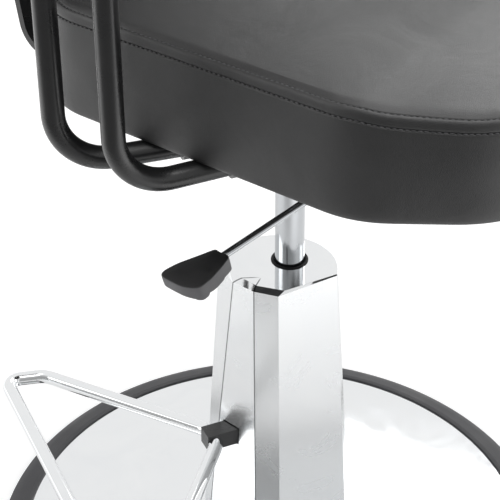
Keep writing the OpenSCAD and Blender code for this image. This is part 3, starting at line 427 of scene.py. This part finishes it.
# Chrome on sheet: a mirror on top, but brushed upright on the sides, which softens what they show. Along the two
# folds nearest the foot rail its colour is painted dark grey, a painted reflection of dark lines there.
cover_chrome = polished_chrome("Chrome plated folded steel", 0.05, 0.05)
tree = cover_chrome.node_tree
face = tree.nodes["Principled BSDF"]
sides = between(tree, normal_z(tree), 0.20, 0.0, 0.3, 0.7)
hazy = calc(tree, "ADD", face.inputs["Roughness"].links[0].from_socket, sides)
plain = face.inputs["Base Color"].links[0].from_socket
place = node(tree, "ShaderNodeTexCoord").outputs["Object"]
spot = node(tree, "ShaderNodeSeparateXYZ", {0: place})
painted_fold_side = between(tree, spot.outputs["X"], 1.0, 0.0, -0.02, -0.015)
# Painted reflection: along each of the two folds the colour is painted dark grey, #4c4d4f, on the foot rail's side.
for corner in (240, 260):
    rise = fold_row[corner] - foot_row[corner]
    square = np.cross(rise, [foot_row[corner, 0], foot_row[corner, 1], 0])
    square /= np.linalg.norm(square)
    away = calc(tree, "SUBTRACT", dot(tree, place, square.tolist()), float(square @ foot_row[corner]))
    painted_fold_line = between(tree, calc(tree, "ABSOLUTE", away), 0.85, 0.0, 0.0003, 0.0009)
    painted_fold_dark = calc(tree, "MULTIPLY", painted_fold_line, painted_fold_side)
    plain = node(tree, "ShaderNodeMixRGB", {"Fac": painted_fold_dark, "Color1": plain, "Color2": colour("#4c4d4f")}).outputs[0]
feed(tree, face, Base_Color=plain, Roughness=hazy)
cover = build("shroud", cover_grid, quads(*cover_grid.shape[:2], loop_rows=True), crease=12)

# The foot rail's arm comes out through a square hole, 1 mm clear of it.
foot_turn = radians(152)
out = np.array([cos(foot_turn), sin(foot_turn), 0])
aside = np.array([-sin(foot_turn), cos(foot_turn), 0])
foot_z = 0.152
hole = np.array([(u * out + v * aside) + [0, 0, foot_z + w] for u in (0.02, 0.12) for v in (-0.01, 0.01)
                 for w in (-0.01, 0.01)])
cutter = build("cutter", hole, [(0, 1, 3, 2), (4, 6, 7, 5), (0, 4, 5, 1), (2, 3, 7, 6), (0, 2, 6, 4), (1, 5, 7, 3)])
cut = cover.modifiers.new("Arm hole", "BOOLEAN")
cut.object, cut.solver = cutter, "EXACT"
holed = bpy.data.meshes.new_from_object(cover.evaluated_get(bpy.context.evaluated_depsgraph_get()))
cover.modifiers.clear()
cover.data = holed
bpy.data.objects.remove(cutter)
holed.materials.clear()
holed.materials.append(cover_chrome)
fold = cover.modifiers.new("Folds", "BEVEL")
fold.limit_method, fold.angle_limit, fold.width, fold.segments = "ANGLE", radians(14), 0.0009, 3
fold.harden_normals = True
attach(cover, "base")
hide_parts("cover")

# ---------------------------------------------------------------- cover seal
# A lip seal of soft black rubber that snaps into the cover's mouth and wipes the column clean.
seal_profile = rounded(
    [(0.0143, 0.3251), (0.0143, 0.3309), (0.0156, 0.3322), (0.0176, 0.3319), (0.0178, 0.3311), (0.0171, 0.3310),
     (0.0171, 0.3284), (0.0199, 0.3284), (0.0199, 0.3251)],
    [0.0003, 0.0004, 0.0009, 0.0004, 0.0002, 0.0001, 0.0001, 0.0003, 0.0003], 5)

# Soft nitrile rubber, moulded: deep black and dull, with a faint 0.6 mm grain.
nitrile, tree, face, place = surface("Moulded nitrile rubber", "#0f0f10", 0.62, Specular_IOR_Level=0.3)
grain = noise(tree, place, 1500.0, 2.0)
feed(tree, face, Roughness=between(tree, grain, 0.52, 0.72), Normal=relief(tree, grain, 0.25, 0.0002))
turn_up("lip_seal", seal_profile, column_x, 96, body="base", finish=nitrile, slot="rubber",
        stands_for=["cover_seal"])

# ---------------------------------------------------------------- footrest
# One chromed steel bar of 14 mm, bent cold into a closed rail and butt welded at the root, where a
# split clamp with a square arm holds it to the stand tube.


def carried(path, normal, profile, closed=True):
    """A profile carried along a plane path. Its first axis is the plane's normal, its second lies in
    the plane, square to the path, whose direction at each point is that between its neighbours."""
    path, profile, normal = np.asarray(path, float), np.asarray(profile, float), np.asarray(normal, float)
    if closed:
        t = np.roll(path, -1, 0) - np.roll(path, 1, 0)
    else:
        t = np.gradient(path, axis=0)
    t /= np.linalg.norm(t, axis=1, keepdims=True)
    b = np.cross(normal, t)
    return path[:, None] + profile[None, :, :1] * normal + profile[None, :, 1:] * b[:, None]


def circle(r, count=40):
    """Points round a circle."""
    a = np.linspace(0, 2 * pi, count, endpoint=False)
    return r * np.stack([np.cos(a), np.sin(a)], -1)


foot_line = rounded(
    [(0.0559, 0), (0.1855, 0.1617), (0.225, 0.171), (0.225, -0.171), (0.1855, -0.1617)],
    [0.030, 0.026, 0.012, 0.012, 0.026], 14)
foot_path = foot_line[:, :1] * out + foot_line[:, 1:] * aside + [0, 0, foot_z]
foot_grid = carried(foot_path, (0, 0, 1), circle(0.007))

# Chrome on drawn bar: bright, with the draw lines just left in its gloss.
bar_chrome = polished_chrome("Chrome plated drawn bar", 0.05, 0.08)
build("foot_rail", foot_grid, quads(*foot_grid.shape[:2], loop_rows=True), body="base", finish=bar_chrome,
      slot="chrome", stands_for=["footrest"], crease=60)
dress(powder, "foot_clamp")
dress(zinc, "clamp_bolts")

# ---------------------------------------------------------------- gas spring
# The lift: a chromed column that slides in the bush, and inside it the fixed rod with its piston and
# guide. A pin through the column's tapered head opens the valve.
column_profile = [
    (0.012, 0.198), (0.0138, 0.198), (0.014, 0.1982), (0.014, 0.49), (0.0133, 0.5258), (0.0131, 0.526),
    (0.00405, 0.526), (0.00405, 0.516), (0.012, 0.516)]

# Hard chrome ground to size: bright, with a bloom from the grinding wheel.
column_chrome = polished_chrome("Ground hard chrome", 0.14, 0.06, "#c6c8ca", "#b9bcbf")
turn_up("spring_column", column_profile, column_x, 128, body="seat", finish=column_chrome, slot="chrome",
        stands_for=["column"], crease=20)
dress(ground, "piston_rod", "release_pin")
dress(zinc, "rod_clip")
dress(acetal, "piston", "rod_guide")

# ---------------------------------------------------------------- seat pan
# The mounting under the seat: a tray of steel pressed and welded round the taper socket, powder
# coated, with the brackets that carry the lever's shaft. Four bolts hold it to the board.
dress(powder, "seat_pan", "shaft_brackets", "taper_socket")
dress(zinc, "pan_bolts", "lever_shaft")

# ---------------------------------------------------------------- height lever
# A chromed rod welded to the cross shaft, which comes out through the pan and droops to the hand. A
# moulded plastic paddle is pushed on its end, flat on top and grooved for the fingers below.
plan, droop = radians(164), radians(14)
lever_start = np.array([column_x - 0.039, -0.118, 0.505])
along = np.array([cos(droop) * cos(plan), cos(droop) * sin(plan), -sin(droop)])
sideways = np.array([-sin(plan), cos(plan), 0])
upward = np.cross(along, sideways)

reach = np.array([0.0085, 0.0085, 0.165, 0.165])
girth = np.array([0, 0.00325, 0.00325, 0])
ring = circle(1, 36)
rod_grid = lever_start + reach[:, None, None] * along + girth[:, None, None] * (
    ring[:, :1] * sideways + ring[:, 1:] * upward)[None]
rod_chrome = polished_chrome("Chrome plated drawn rod", 0.10, 0.08, "#b4b6b8", "#a8abae")
build("lever_bar", rod_grid, quads(4, 36), body="lever", finish=rod_chrome, slot="chrome",
      stands_for=["lever_rod"])

paddle_edge = np.array([
    (161.7, -8.4), (160.6, -4.7), (159.9, 0.4), (158.5, 4.6), (159.3, 7.7), (161.6, 9.5), (169.9, 13.1),
    (182.5, 17.3), (189, 18.5), (195, 19.1), (198.5, 17.8), (202, 14), (205.4, 8.2), (207.3, 2.1), (209, -7),
    (209.9, -14.7), (208.6, -18.7), (206.1, -20.3), (201.5, -20.5), (191.3, -18.7), (179, -14.5),
    (170.8, -11.7)]) / 1000


def through(points, count):
    """A smooth closed line through the points: on each side a cubic whose slopes at its ends are half
    the step between the neighbours, then evened out to count points of equal spacing."""
    a, b, c, d = (np.roll(points, k, 0)[:, None] for k in (1, 0, -1, -2))
    s = np.linspace(0, 1, 24, endpoint=False)[None, :, None]
    fine = 0.5 * (2 * b + (c - a) * s + (2 * a - 5 * b + 4 * c - d) * s ** 2 + (3 * b - a - 3 * c + d) * s ** 3)
    return evened(fine.reshape(-1, 2), count)


def evened(line, count):
    """The same closed line with count points at equal steps along it."""
    ends = np.concatenate([line, line[:1]])
    run = np.concatenate([[0], np.cumsum(np.linalg.norm(np.diff(ends, axis=0), axis=1))])
    s = np.linspace(0, run[-1], count, endpoint=False)
    return np.stack([np.interp(s, run, ends[:, k]) for k in (0, 1)], -1)


edge = through(paddle_edge, 180) + [0.0025, 0]
middle = np.array([0.1885, 0.0])
# The wall's lower edge, which rises between the fingers: how far out, and how deep, in mm.
grooves = np.array([
    (158, -9.9), (163, -10.1), (168, -9.5), (172, -9.0), (174, -10.2), (183, -10.1), (188, -9.4), (191, -8.6),
    (193, -10.8), (199, -11.0), (202.5, -10.2), (204, -9.0), (206.5, -8.2), (210, -7.2)])
deep = np.interp(edge[:, 0], grooves[:, 0] / 1000, grooves[:, 1])
# Rows: share of the way out from the middle, height in mm, and share of the wall's depth.
rows = []
for keep, height, sunk in (
        (0.0, 3.7, 0), (0.5, 3.7, 0), (0.94, 3.6, 0), (0.975, 3.4, 0), (0.993, 2.9, 0), (1.0, 2.1, 0), (1.0, 0.0, 0.2),
        (0.998, 0.0, 0.45), (0.996, 0.0, 0.7), (0.993, 0.0, 0.9), (0.98, 0.0, 0.97), (0.95, 0.0, 1), (0.90, 0.0, 1),
        (0.55, -7.5, 0), (0.0, -7.5, 0)):
    spot = middle + keep * (edge - middle)
    rows.append(lever_start + spot[:, :1] * along + spot[:, 1:] * sideways
                + (height + deep[:, None] * sunk) / 1000 * upward)
paddle_grid = np.array(rows)

# Injection moulded nylon: black, with a fine spark-eroded texture of 0.4 mm that greys the gloss. Its walls and
# underside are painted a lighter grey, a painted reflection of the bright floor; the top stays black, faintly mottled.
nylon, tree, face, place = surface("Moulded black nylon", "#1a1a1b", 0.5, Specular_IOR_Level=0.45)
spark, handled = noise(tree, place, 2300.0, 2.0), noise(tree, place, 60.0, 3.0)
# Painted reflection: faces that don't turn upward get the light grey #5c5c5e, upward faces the dark nylon.
painted_wall_sheen = node(tree, "ShaderNodeMixRGB", {"Fac": between(tree, normal_z(tree), 0.0, 1.0, 0.35, 0.8),
                                        "Color1": colour("#5c5c5e"),
                                        "Color2": two_tone(tree, handled, "#151516", "#1d1d1e")})
feed(tree, face, Base_Color=painted_wall_sheen.outputs[0], Roughness=between(tree, handled, 0.42, 0.58, 0.3, 0.7),
     Normal=relief(tree, spark, 0.3, 0.0002))
build("grip_paddle", paddle_grid, quads(*paddle_grid.shape[:2]), body="lever", finish=nylon, slot="plastic",
      stands_for=["paddle"], crease=50)

# ---------------------------------------------------------------- seat board
# The seat's base: birch plywood of 15 mm, cut to the seat's outline, drilled for the screws and
# stained black below. The cushion's cover is drawn under its edge. The arm pads' boards are left bare.

# Birch plywood: pale veneer with a faint grain along the seat, and its plies 1.5 mm apart on edge.
plywood, tree, face, place = surface("Birch plywood", "#b89a6c", 0.7)
long_grain = node(tree, "ShaderNodeMapping", {"Vector": place, "Scale": (1, 0.06, 0.2)})
veins = noise(tree, long_grain.outputs[0], 340.0, 5.0)
plies = node(tree, "ShaderNodeTexWave", {"Vector": place, "Scale": 105.0}, bands_direction="Z").outputs[0]
wood = node(tree, "ShaderNodeMixRGB", {"Fac": calc(tree, "ABSOLUTE", normal_z(tree)),
                                       "Color1": two_tone(tree, plies, "#7d6038", "#c2a473"),
                                       "Color2": two_tone(tree, veins, "#a78756", "#c9ad80")})
feed(tree, face, Base_Color=wood.outputs[0], Normal=relief(tree, veins, 0.25, 0.0002))
dress(plywood, "arm_pad_boards")

# Plywood stained black and lacquered: the veneer's grain still shows in its satin gloss.
stained, tree, face, place = surface("Black stained plywood", "#1d1c1b", 0.5)
long_grain = node(tree, "ShaderNodeMapping", {"Vector": place, "Scale": (1, 0.3, 0.05)})
veins = noise(tree, long_grain.outputs[0], 380.0, 5.0)
feed(tree, face, Base_Color=two_tone(tree, veins, "#151413", "#2a2826"), Normal=relief(tree, veins, 0.3, 0.0002))
dress(stained, "seat_board")

# ---------------------------------------------------------------- seat cushion
# Moulded foam in a sewn cover of black leatherette, drawn down over the board's edge and stapled
# beneath. A side band meets the top panel in a seam that is top-stitched twice, 9 mm apart.


def outline(corners, radii, count):
    """A closed outline with rounded corners, evened to count points, from the middle of a side on."""
    return evened(rounded(corners, radii, 24), count)


def drawn_in(line, half, mid, inset):
    """The outline pulled in by a distance on every side: each point scaled towards the middle."""
    return np.stack([line[:, 0] * (1 - inset / half[0]), mid + (line[:, 1] - mid) * (1 - inset / half[1])], -1)


def outline_share(plan, line, half, mid):
    """How far out points lie in plan: 0 at the middle, 1 on the outline at their bearing."""
    unit, p = (line - [0, mid]) / half, (plan - [0, mid]) / half
    bearing, far = np.arctan2(unit[:, 1], unit[:, 0]), np.linalg.norm(unit, axis=1)
    order = np.argsort(bearing)
    return np.linalg.norm(p, axis=-1) / np.interp(
        np.arctan2(p[..., 1], p[..., 0]), bearing[order], far[order], period=2 * pi)


def patch(rim, side):
    """A square grid whose four sides are the quarters of a closed rim. Inside, each point is the sum of
    the two blends between opposite sides, less the blend of the corners."""
    low, right_edge, high, left_edge = (rim[np.arange(k * side, (k + 1) * side + 1) % len(rim)] for k in range(4))
    high, left_edge = high[::-1], left_edge[::-1]
    u = np.linspace(0, 1, side + 1)[None, :, None]
    v = np.linspace(0, 1, side + 1)[:, None, None]
    corners = ((1 - v) * ((1 - u) * low[0] + u * low[-1]) + v * ((1 - u) * high[0] + u * high[-1]))
    return (1 - v) * low[None] + v * high[None] + (1 - u) * left_edge[:, None] + u * right_edge[:, None] - corners


def padded_form(name, line, half, mid, rings, crown, power, place):
    """A cushion from its outline: rows of (inset, height) from the pocket round its edge up to the top
    seam, then a top panel that rises by crown * (1 - share ** power), share being how far out a point
    lies. place carries plan and height into the chair."""
    side = len(line) // 4
    rows = np.array([np.c_[drawn_in(line, half, mid, inset), np.full(len(line), height)]
                     for inset, height in rings])
    count = len(rows) * len(line)
    flat_top = patch(rows[-1][:, :2], side)
    share = outline_share(flat_top, line, half, mid) / (1 - rings[-1][0] / half[0])
    rise = rings[-1][1] + crown * (1 - np.clip(share, 0, 1) ** power)
    top = np.concatenate([flat_top, rise[..., None]], -1)
    under = patch(rows[0][:, :2], side)
    under = np.concatenate([under, np.full(under.shape[:2] + (1,), rings[0][1])], -1)
    points = np.concatenate([rows.reshape(-1, 3), top.reshape(-1, 3), under.reshape(-1, 3)])
    faces = np.concatenate([
        quads(len(rows), len(line)), quads(side + 1, side + 1, loop_columns=False) + count,
        quads(side + 1, side + 1, loop_columns=False) + count + (side + 1) ** 2])
    return build(name, place(points), faces, crease=180)


def inflated(piece, place, held, pressure, cap, frames=18):
    """Blows the cover out as cloth for some frames, with no gravity and its sewn points held, then
    keeps each point within cap of where it was. held tells the sewn points from their place."""
    mesh = piece.data
    start = np.empty(len(mesh.vertices) * 3)
    mesh.vertices.foreach_get("co", start)
    start = start.reshape(-1, 3)
    group = piece.vertex_groups.new(name="Sewn")
    group.add(np.flatnonzero(held(place(start))).tolist(), 1.0, "REPLACE")
    cloth = piece.modifiers.new("Cloth", "CLOTH")
    with_air = cloth.settings
    with_air.quality, with_air.mass, with_air.air_damping = 5, 0.25, 2.0
    with_air.tension_stiffness = with_air.compression_stiffness = 18
    with_air.shear_stiffness, with_air.bending_stiffness = 8, 0.6
    with_air.use_pressure, with_air.uniform_pressure_force = True, pressure
    with_air.effector_weights.gravity = 0
    with_air.vertex_group_mass = "Sewn"
    cloth.point_cache.frame_start, cloth.point_cache.frame_end = 1, frames
    for step in range(1, frames + 1):
        scene.frame_set(step)
    blown = piece.evaluated_get(bpy.context.evaluated_depsgraph_get())
    end = np.empty(len(start) * 3)
    blown.data.vertices.foreach_get("co", end)
    moved = end.reshape(-1, 3) - start
    length = np.linalg.norm(moved, axis=1, keepdims=True)
    moved *= np.minimum(1, cap / np.maximum(length, 1e-9))
    piece.modifiers.clear()
    piece.vertex_groups.clear()
    mesh.vertices.foreach_set("co", (start + moved).ravel())
    mesh.update()
    scene.frame_set(1)


seat_z, seat_half, seat_front, seat_rear = 0.547, 0.197, 0.304, 0.165
slant = tan(radians(35.6))
front_half, rear_half = seat_half - (seat_front - 0.202) * slant, seat_half - (seat_rear - 0.092) * slant
seat_corners = [(front_half, -seat_front), (seat_half, -0.202), (seat_half, 0.092), (rear_half, seat_rear),
                (-rear_half, seat_rear), (-seat_half, 0.092), (-seat_half, -0.202), (-front_half, -seat_front)]
seat_line = outline(seat_corners, [0.1, 0.085, 0.06, 0.05, 0.05, 0.06, 0.085, 0.1], 256)
seat_middle = (seat_rear - seat_front) / 2
seat_size = np.array([seat_half, (seat_rear + seat_front) / 2])

# Rows of the cover, in mm: inset from the outline and height above the board's underside. The row far
# in at the seams is the groove that the thread pulls.
seat_rings = np.array([
    (13.6, 15), (13.6, 8), (13.6, -0.4), (9, -1), (5, -1), (2.4, 0), (0.9, 2.4), (0.3, 6.5),
    (0, 12), (0, 19), (0, 26), (0, 33), (0, 40), (0, 47), (0.1, 54), (0.3, 61), (0.6, 67),
    (0.9, 72), (1.2, 76.5), (1.4, 80), (1.6, 82), (2.0, 82.7), (4.0, 83.3), (2.2, 83.9),
    (1.9, 84.7), (2.1, 87), (2.6, 89.5), (3.5, 91.4), (4.6, 92.3), (5.3, 92.4), (5.7, 90.4),
    (6.1, 92.5), (6.9, 93.1), (8.2, 94.2), (10.5, 95.7)]) / 1000


def on_seat(points):
    """Plan and height over the board, carried to the seat's place by the column."""
    return points + [column_x, 0, seat_z]


def off_seat(points):
    """The way back from the chair to plan and height over the board."""
    return points - [column_x, 0, seat_z]


def leatherette(name, dark, pale, gloss):
    """Vinyl on knitted cloth, embossed with a grain of rounded cells 0.9 mm across between fine
    creases. It gives a soft broad gloss over near black, broken where it is stretched."""
    made, tree, face, place = surface(name, dark, gloss, Specular_IOR_Level=0.85)
    wander = node(tree, "ShaderNodeTexNoise", {"Vector": place, "Scale": 700.0, "Detail": 1.0})
    shift = node(tree, "ShaderNodeVectorMath", {0: wander.outputs["Color"], 1: (0.0011, 0.0011, 0.0011)},
                 operation="MULTIPLY")
    bent = node(tree, "ShaderNodeVectorMath", {0: place, 1: shift.outputs[0]}, operation="ADD")
    cells = node(tree, "ShaderNodeTexVoronoi", {"Vector": bent.outputs[0], "Scale": 1100.0},
                 feature="DISTANCE_TO_EDGE")
    crease = between(tree, cells.outputs["Distance"], 0.0, 1.0, 0.0, 0.22, interpolation_type="SMOOTHSTEP")
    stretch = noise(tree, place, 16.0, 4.0, Distortion=0.6)
    feed(tree, face, Base_Color=two_tone(tree, crease, dark, pale),
         Roughness=between(tree, stretch, gloss - 0.05, gloss + 0.06, 0.3, 0.7),
         Normal=relief(tree, stretch, 0.22, 0.005, Normal=relief(tree, crease, 0.34, 0.0002)))
    return made


hide = leatherette("Black leatherette", "#0a0a0b", "#151516", 0.42)


def upholstered(piece, cad_node):
    """Puts the leatherette on a cushion, rounds it once, carries it with the seat and hides the CAD node it stands
    for.
    """
    piece.data.materials.append(hide)
    round_off = piece.modifiers.new("Round", "SUBSURF")
    round_off.levels = round_off.render_levels = 1
    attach(piece, "seat")
    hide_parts(cad_node)


seat = padded_form("seat_pad", seat_line, seat_size, seat_middle, seat_rings, 0.010, 3.2, on_seat)


def seat_sewn(points):
    """Stapled below, sewn along the two seams; the side band and the top panel are free."""
    z = points[:, 2]
    out_share = outline_share(points[:, :2], seat_line, seat_size, seat_middle)
    return (z < 0.005) | ((z < 0.0155) & (out_share < 0.95)) | ((z > 0.0785) & (out_share > 0.94))


def sagged(points):
    """The seat falls to its front edge: the height lost grows to 8.5 mm over the last 106 mm, as
    1 - (1 - share) ** 2, and within the band's lower half it fades to nothing."""
    x, y, z = off_seat(np.asarray(points, float)).T
    forward = np.clip((-0.198 - y) / 0.106, 0, 1)
    rise = np.clip((z - 0.030) / 0.045, 0, 1)
    return points - np.stack([0 * x, 0 * x, 0.0085 * (1 - (1 - forward) ** 2) * rise ** 2 * (3 - 2 * rise)], -1)


inflated(seat, off_seat, seat_sewn, 4.0, 0.004)
skin = np.empty(len(seat.data.vertices) * 3)
seat.data.vertices.foreach_get("co", skin)
seat.data.vertices.foreach_set("co", sagged(skin.reshape(-1, 3)).ravel())
seat.data.update()
upholstered(seat, "seat_cushion")

# Stitches of bonded polyester thread, 3.6 mm long, one row in the fold and one 9 mm below it.


def stitches(line, height, length=0.0036, thick=0.00055):
    """A row of stitches along a closed line in plan: each a short barrel, round in section, whose
    thickness falls to nothing at its two ends, where the thread goes into the cover."""
    ring = np.concatenate([line, line[:1]])
    run = np.concatenate([[0], np.cumsum(np.linalg.norm(np.diff(ring, axis=0), axis=1))])
    count = int(run[-1] / (length * 1.25))
    middle = np.linspace(0, run[-1], count, endpoint=False)
    s = np.linspace(-0.5, 0.5, 5)
    spot = (middle[:, None] + s * length) % run[-1]
    xy = np.stack([np.interp(spot, run, ring[:, k]) for k in (0, 1)], -1)
    ahead_xy = np.stack([np.interp((spot + 1e-4) % run[-1], run, ring[:, k]) for k in (0, 1)], -1) - xy
    ahead_xy /= np.linalg.norm(ahead_xy, axis=-1, keepdims=True)
    outward = np.stack([ahead_xy[..., 1], -ahead_xy[..., 0], 0 * ahead_xy[..., 0]], -1)
    fat = thick * np.sqrt(np.clip(1 - (2 * s) ** 2, 0, 1))
    a = np.linspace(0, 2 * pi, 6, endpoint=False)
    around = outward[:, :, None] * np.cos(a)[:, None] + np.array([0, 0, 1.0]) * np.sin(a)[:, None]
    centre = np.concatenate([xy, np.full(xy.shape[:2] + (1,), height)], -1)
    points = centre[:, :, None] + fat[None, :, None, None] * around
    one = quads(5, 6)
    faces = (one[None] + np.arange(count)[:, None, None] * 30).reshape(-1, 4)
    return points.reshape(-1, 3), faces


# Bonded polyester sewing thread: smooth, slightly shiny charcoal, twisted every 1.2 mm.
thread, tree, face, place = surface("Bonded polyester thread", "#38383a", 0.5, Sheen_Weight=0.2)
twist = node(tree, "ShaderNodeTexWave", {"Vector": place, "Scale": 130.0}, bands_direction="DIAGONAL").outputs[0]
feed(tree, face, Base_Color=two_tone(tree, twist, "#2e2e30", "#48484a"), Normal=relief(tree, twist, 0.4, 0.0002))

for name, inset, height in (("seat_topstitch", 0.0056, 0.0920), ("seat_lower_stitch", 0.0021, 0.0833)):
    line = drawn_in(seat_line, seat_size, seat_middle, inset)
    points, faces = stitches(line, height)
    build(name, sagged(on_seat(points)), faces, body="seat", finish=thread, slot="leatherette", crease=60)

# ---------------------------------------------------------------- arm tubes
# Each armrest stands on two steel tubes of 19 mm, bent under the seat and strapped to its board by
# saddles, with a plastic plug in each end. Tube and straps are powder coated satin black.
arm_r, arm_x, arm_bend, rail_z = 0.0095, 0.254, 0.047, 0.817
arm_z = seat_z - arm_r


def arm_tube(side, y, turn):
    """The tube's skin: down the post, round the bend and in under the seat, side being -1 on the
    sitter's right. At each end the skin turns in over a 1.5 mm wall and runs back 20 mm inside."""
    turn = radians(turn)
    inward = np.array([-side * cos(turn), -sin(turn), 0])
    post = np.array([column_x + side * arm_x, y, 0])
    run = (arm_x - 0.095) / cos(turn)
    a = np.linspace(0, pi / 2, 22)
    bend = np.stack([arm_bend * (1 - np.cos(a)), arm_z + arm_bend * (1 - np.sin(a))], -1)
    straight = np.linspace(rail_z, arm_z + arm_bend, 12)[:-1]
    line = np.concatenate([np.stack([0 * straight, straight], -1), bend,
                           np.stack([np.linspace(arm_bend, run, 8)[1:], np.full(7, arm_z)], -1)])
    path = post + line[:, :1] * inward + line[:, 1:] * np.array([0, 0, 1])
    skin = carried(path, np.cross(inward, (0, 0, 1)), circle(arm_r, 40), closed=False)
    bore = carried(path, np.cross(inward, (0, 0, 1)), circle(arm_r - 0.0015, 40), closed=False)
    top, foot = bore[0] - [0, 0, 0.02], bore[-1] - 0.02 * inward
    hub = [np.repeat(p.mean(0)[None], 40, 0)[None] for p in (top, foot)]
    return np.concatenate([hub[0], top[None], bore[:1], skin, bore[-1:], foot[None], hub[1]])


for name, side, y, turn in (("right_front_arm_tube", -1, -0.021, 27), ("right_rear_arm_tube", -1, 0.042, 34),
                            ("left_front_arm_tube", 1, -0.021, 27), ("left_rear_arm_tube", 1, 0.042, 34)):
    grid = arm_tube(side, y, turn)
    build(name.replace("arm_tube", "arm_post"), grid, quads(*grid.shape[:2]), body="seat", finish=powder,
          slot="black_paint", stands_for=[name])
dress(powder, "tube_saddles")
dress(zinc, "saddle_screws", "arm_pad_screws")
dress(nylon, "tube_plugs")

# ---------------------------------------------------------------- arm rails and pads
# A flat steel rail lies across each pair of posts, with a small plywood board screwed on it. The pad
# is foam in the seat's leatherette, pulled tight round the board.
dress(powder, "right_arm_rail", "left_arm_rail")
pad_size = np.array([0.028, 0.135])
pad_line = outline([(0.028, -0.135), (0.028, 0.135), (-0.028, 0.135), (-0.028, -0.135)], [0.022] * 4, 160)
pad_rings = np.array([
    (8, 8), (8, 4), (8, 0.2), (5.5, 0), (3, 0), (1.2, 1.2), (0.3, 3.5), (0, 7), (0, 11),
    (0.2, 14.5), (0.8, 17.5), (1.6, 19.6), (2.3, 20.4), (2.5, 20.9), (2.4, 21.8), (3.4, 23.3),
    (5.0, 24.8), (7.0, 26.0)]) / 1000
rail_y = -0.0195


def pad_sewn(points):
    """Stapled below; the seam round the top edge is sewn."""
    z = points[:, 2]
    return (z < 0.002) | ((z > 0.0193) & (z < 0.0222))


for name, side in (("right_arm_pad", -1), ("left_arm_pad", 1)):
    spot = np.array([column_x + side * arm_x, rail_y, rail_z + 0.004])
    pad = padded_form(name.replace("pad", "cushion"), pad_line, pad_size, 0, pad_rings, 0.004, 3.0,
                      lambda points: points + spot)
    inflated(pad, lambda points: points - spot, pad_sewn, 3.0, 0.0015)
    upholstered(pad, name)
    points, faces = stitches(drawn_in(pad_line, pad_size, 0, 0.0022), 0.0223)
    build(name.replace("pad", "topstitch"), points + spot, faces, body="seat", finish=thread,
          slot="leatherette", crease=60)

# ---------------------------------------------------------------- backrest
# Two flat steel straps, bolted under the seat board and bent up behind it, carry a plywood board
# with a foam cushion in front, covered and top-stitched as the seat is.
dress(powder, "right_back_bracket", "left_back_bracket")
dress(zinc, "bracket_bolts", "back_screws")

dress(stained, "back_board")

back_lean = radians(10)
back_size = np.array([0.21, 0.19])
back_line = outline([(0.21, -0.19), (0.21, 0.19), (-0.21, 0.19), (-0.21, -0.19)], [0.06] * 4, 240)
back_turn = np.array([[1, 0, 0], [0, sin(back_lean), cos(back_lean)], [0, -cos(back_lean), sin(back_lean)]])
back_foot = (np.array([column_x, 0.177, 0.571]) + 0.024 * np.array([0, cos(back_lean), -sin(back_lean)])
             + (0.1056 + 0.19) * np.array([0, sin(back_lean), cos(back_lean)]))
back_rings = np.array([
    (26, 12), (26, 6), (26, 0.2), (16, 0), (6, 0), (3, 1.0), (1.2, 3), (0.3, 7), (0, 12),
    (0, 18), (0, 24), (0, 30), (0.3, 35), (0.9, 39.5), (1.4, 41.6), (2.3, 42.8), (2.5, 43.6),
    (1.9, 44.7), (2.0, 46.5), (2.4, 48.5), (3.0, 50.2), (3.9, 51.2), (5.0, 51.3), (5.7, 50.8),
    (6.4, 51.6), (8.0, 53.2), (10.5, 54.8)]) / 1000


def on_back(points):
    """Plan and depth of the cushion, turned upright along the lean and set on the straps."""
    return points @ back_turn + back_foot


def off_back(points):
    """The way back from the chair to the cushion's own plan and depth."""
    return (points - back_foot) @ back_turn.T


def back_sewn(points):
    """Stapled behind, sewn along the two seams."""
    unit = points[:, :2] / back_size
    reach_out = np.abs(unit).max(1)
    return (points[:, 2] < 0.005) | ((points[:, 2] < 0.0125) & (reach_out < 0.89)) | (
        (points[:, 2] > 0.0405) & (points[:, 2] < 0.0545) & (reach_out > 0.75))


back = padded_form("back_pad", back_line, back_size, 0, back_rings, 0.010, 4.0, on_back)
inflated(back, off_back, back_sewn, 4.0, 0.005)
upholstered(back, "back_cushion")
for name, inset, height in (("back_topstitch", 0.0049, 0.0515), ("back_lower_stitch", 0.0024, 0.0437)):
    points, faces = stitches(drawn_in(back_line, back_size, 0, inset), height)
    build(name, on_back(points), faces, body="seat", finish=thread, slot="leatherette", crease=60)
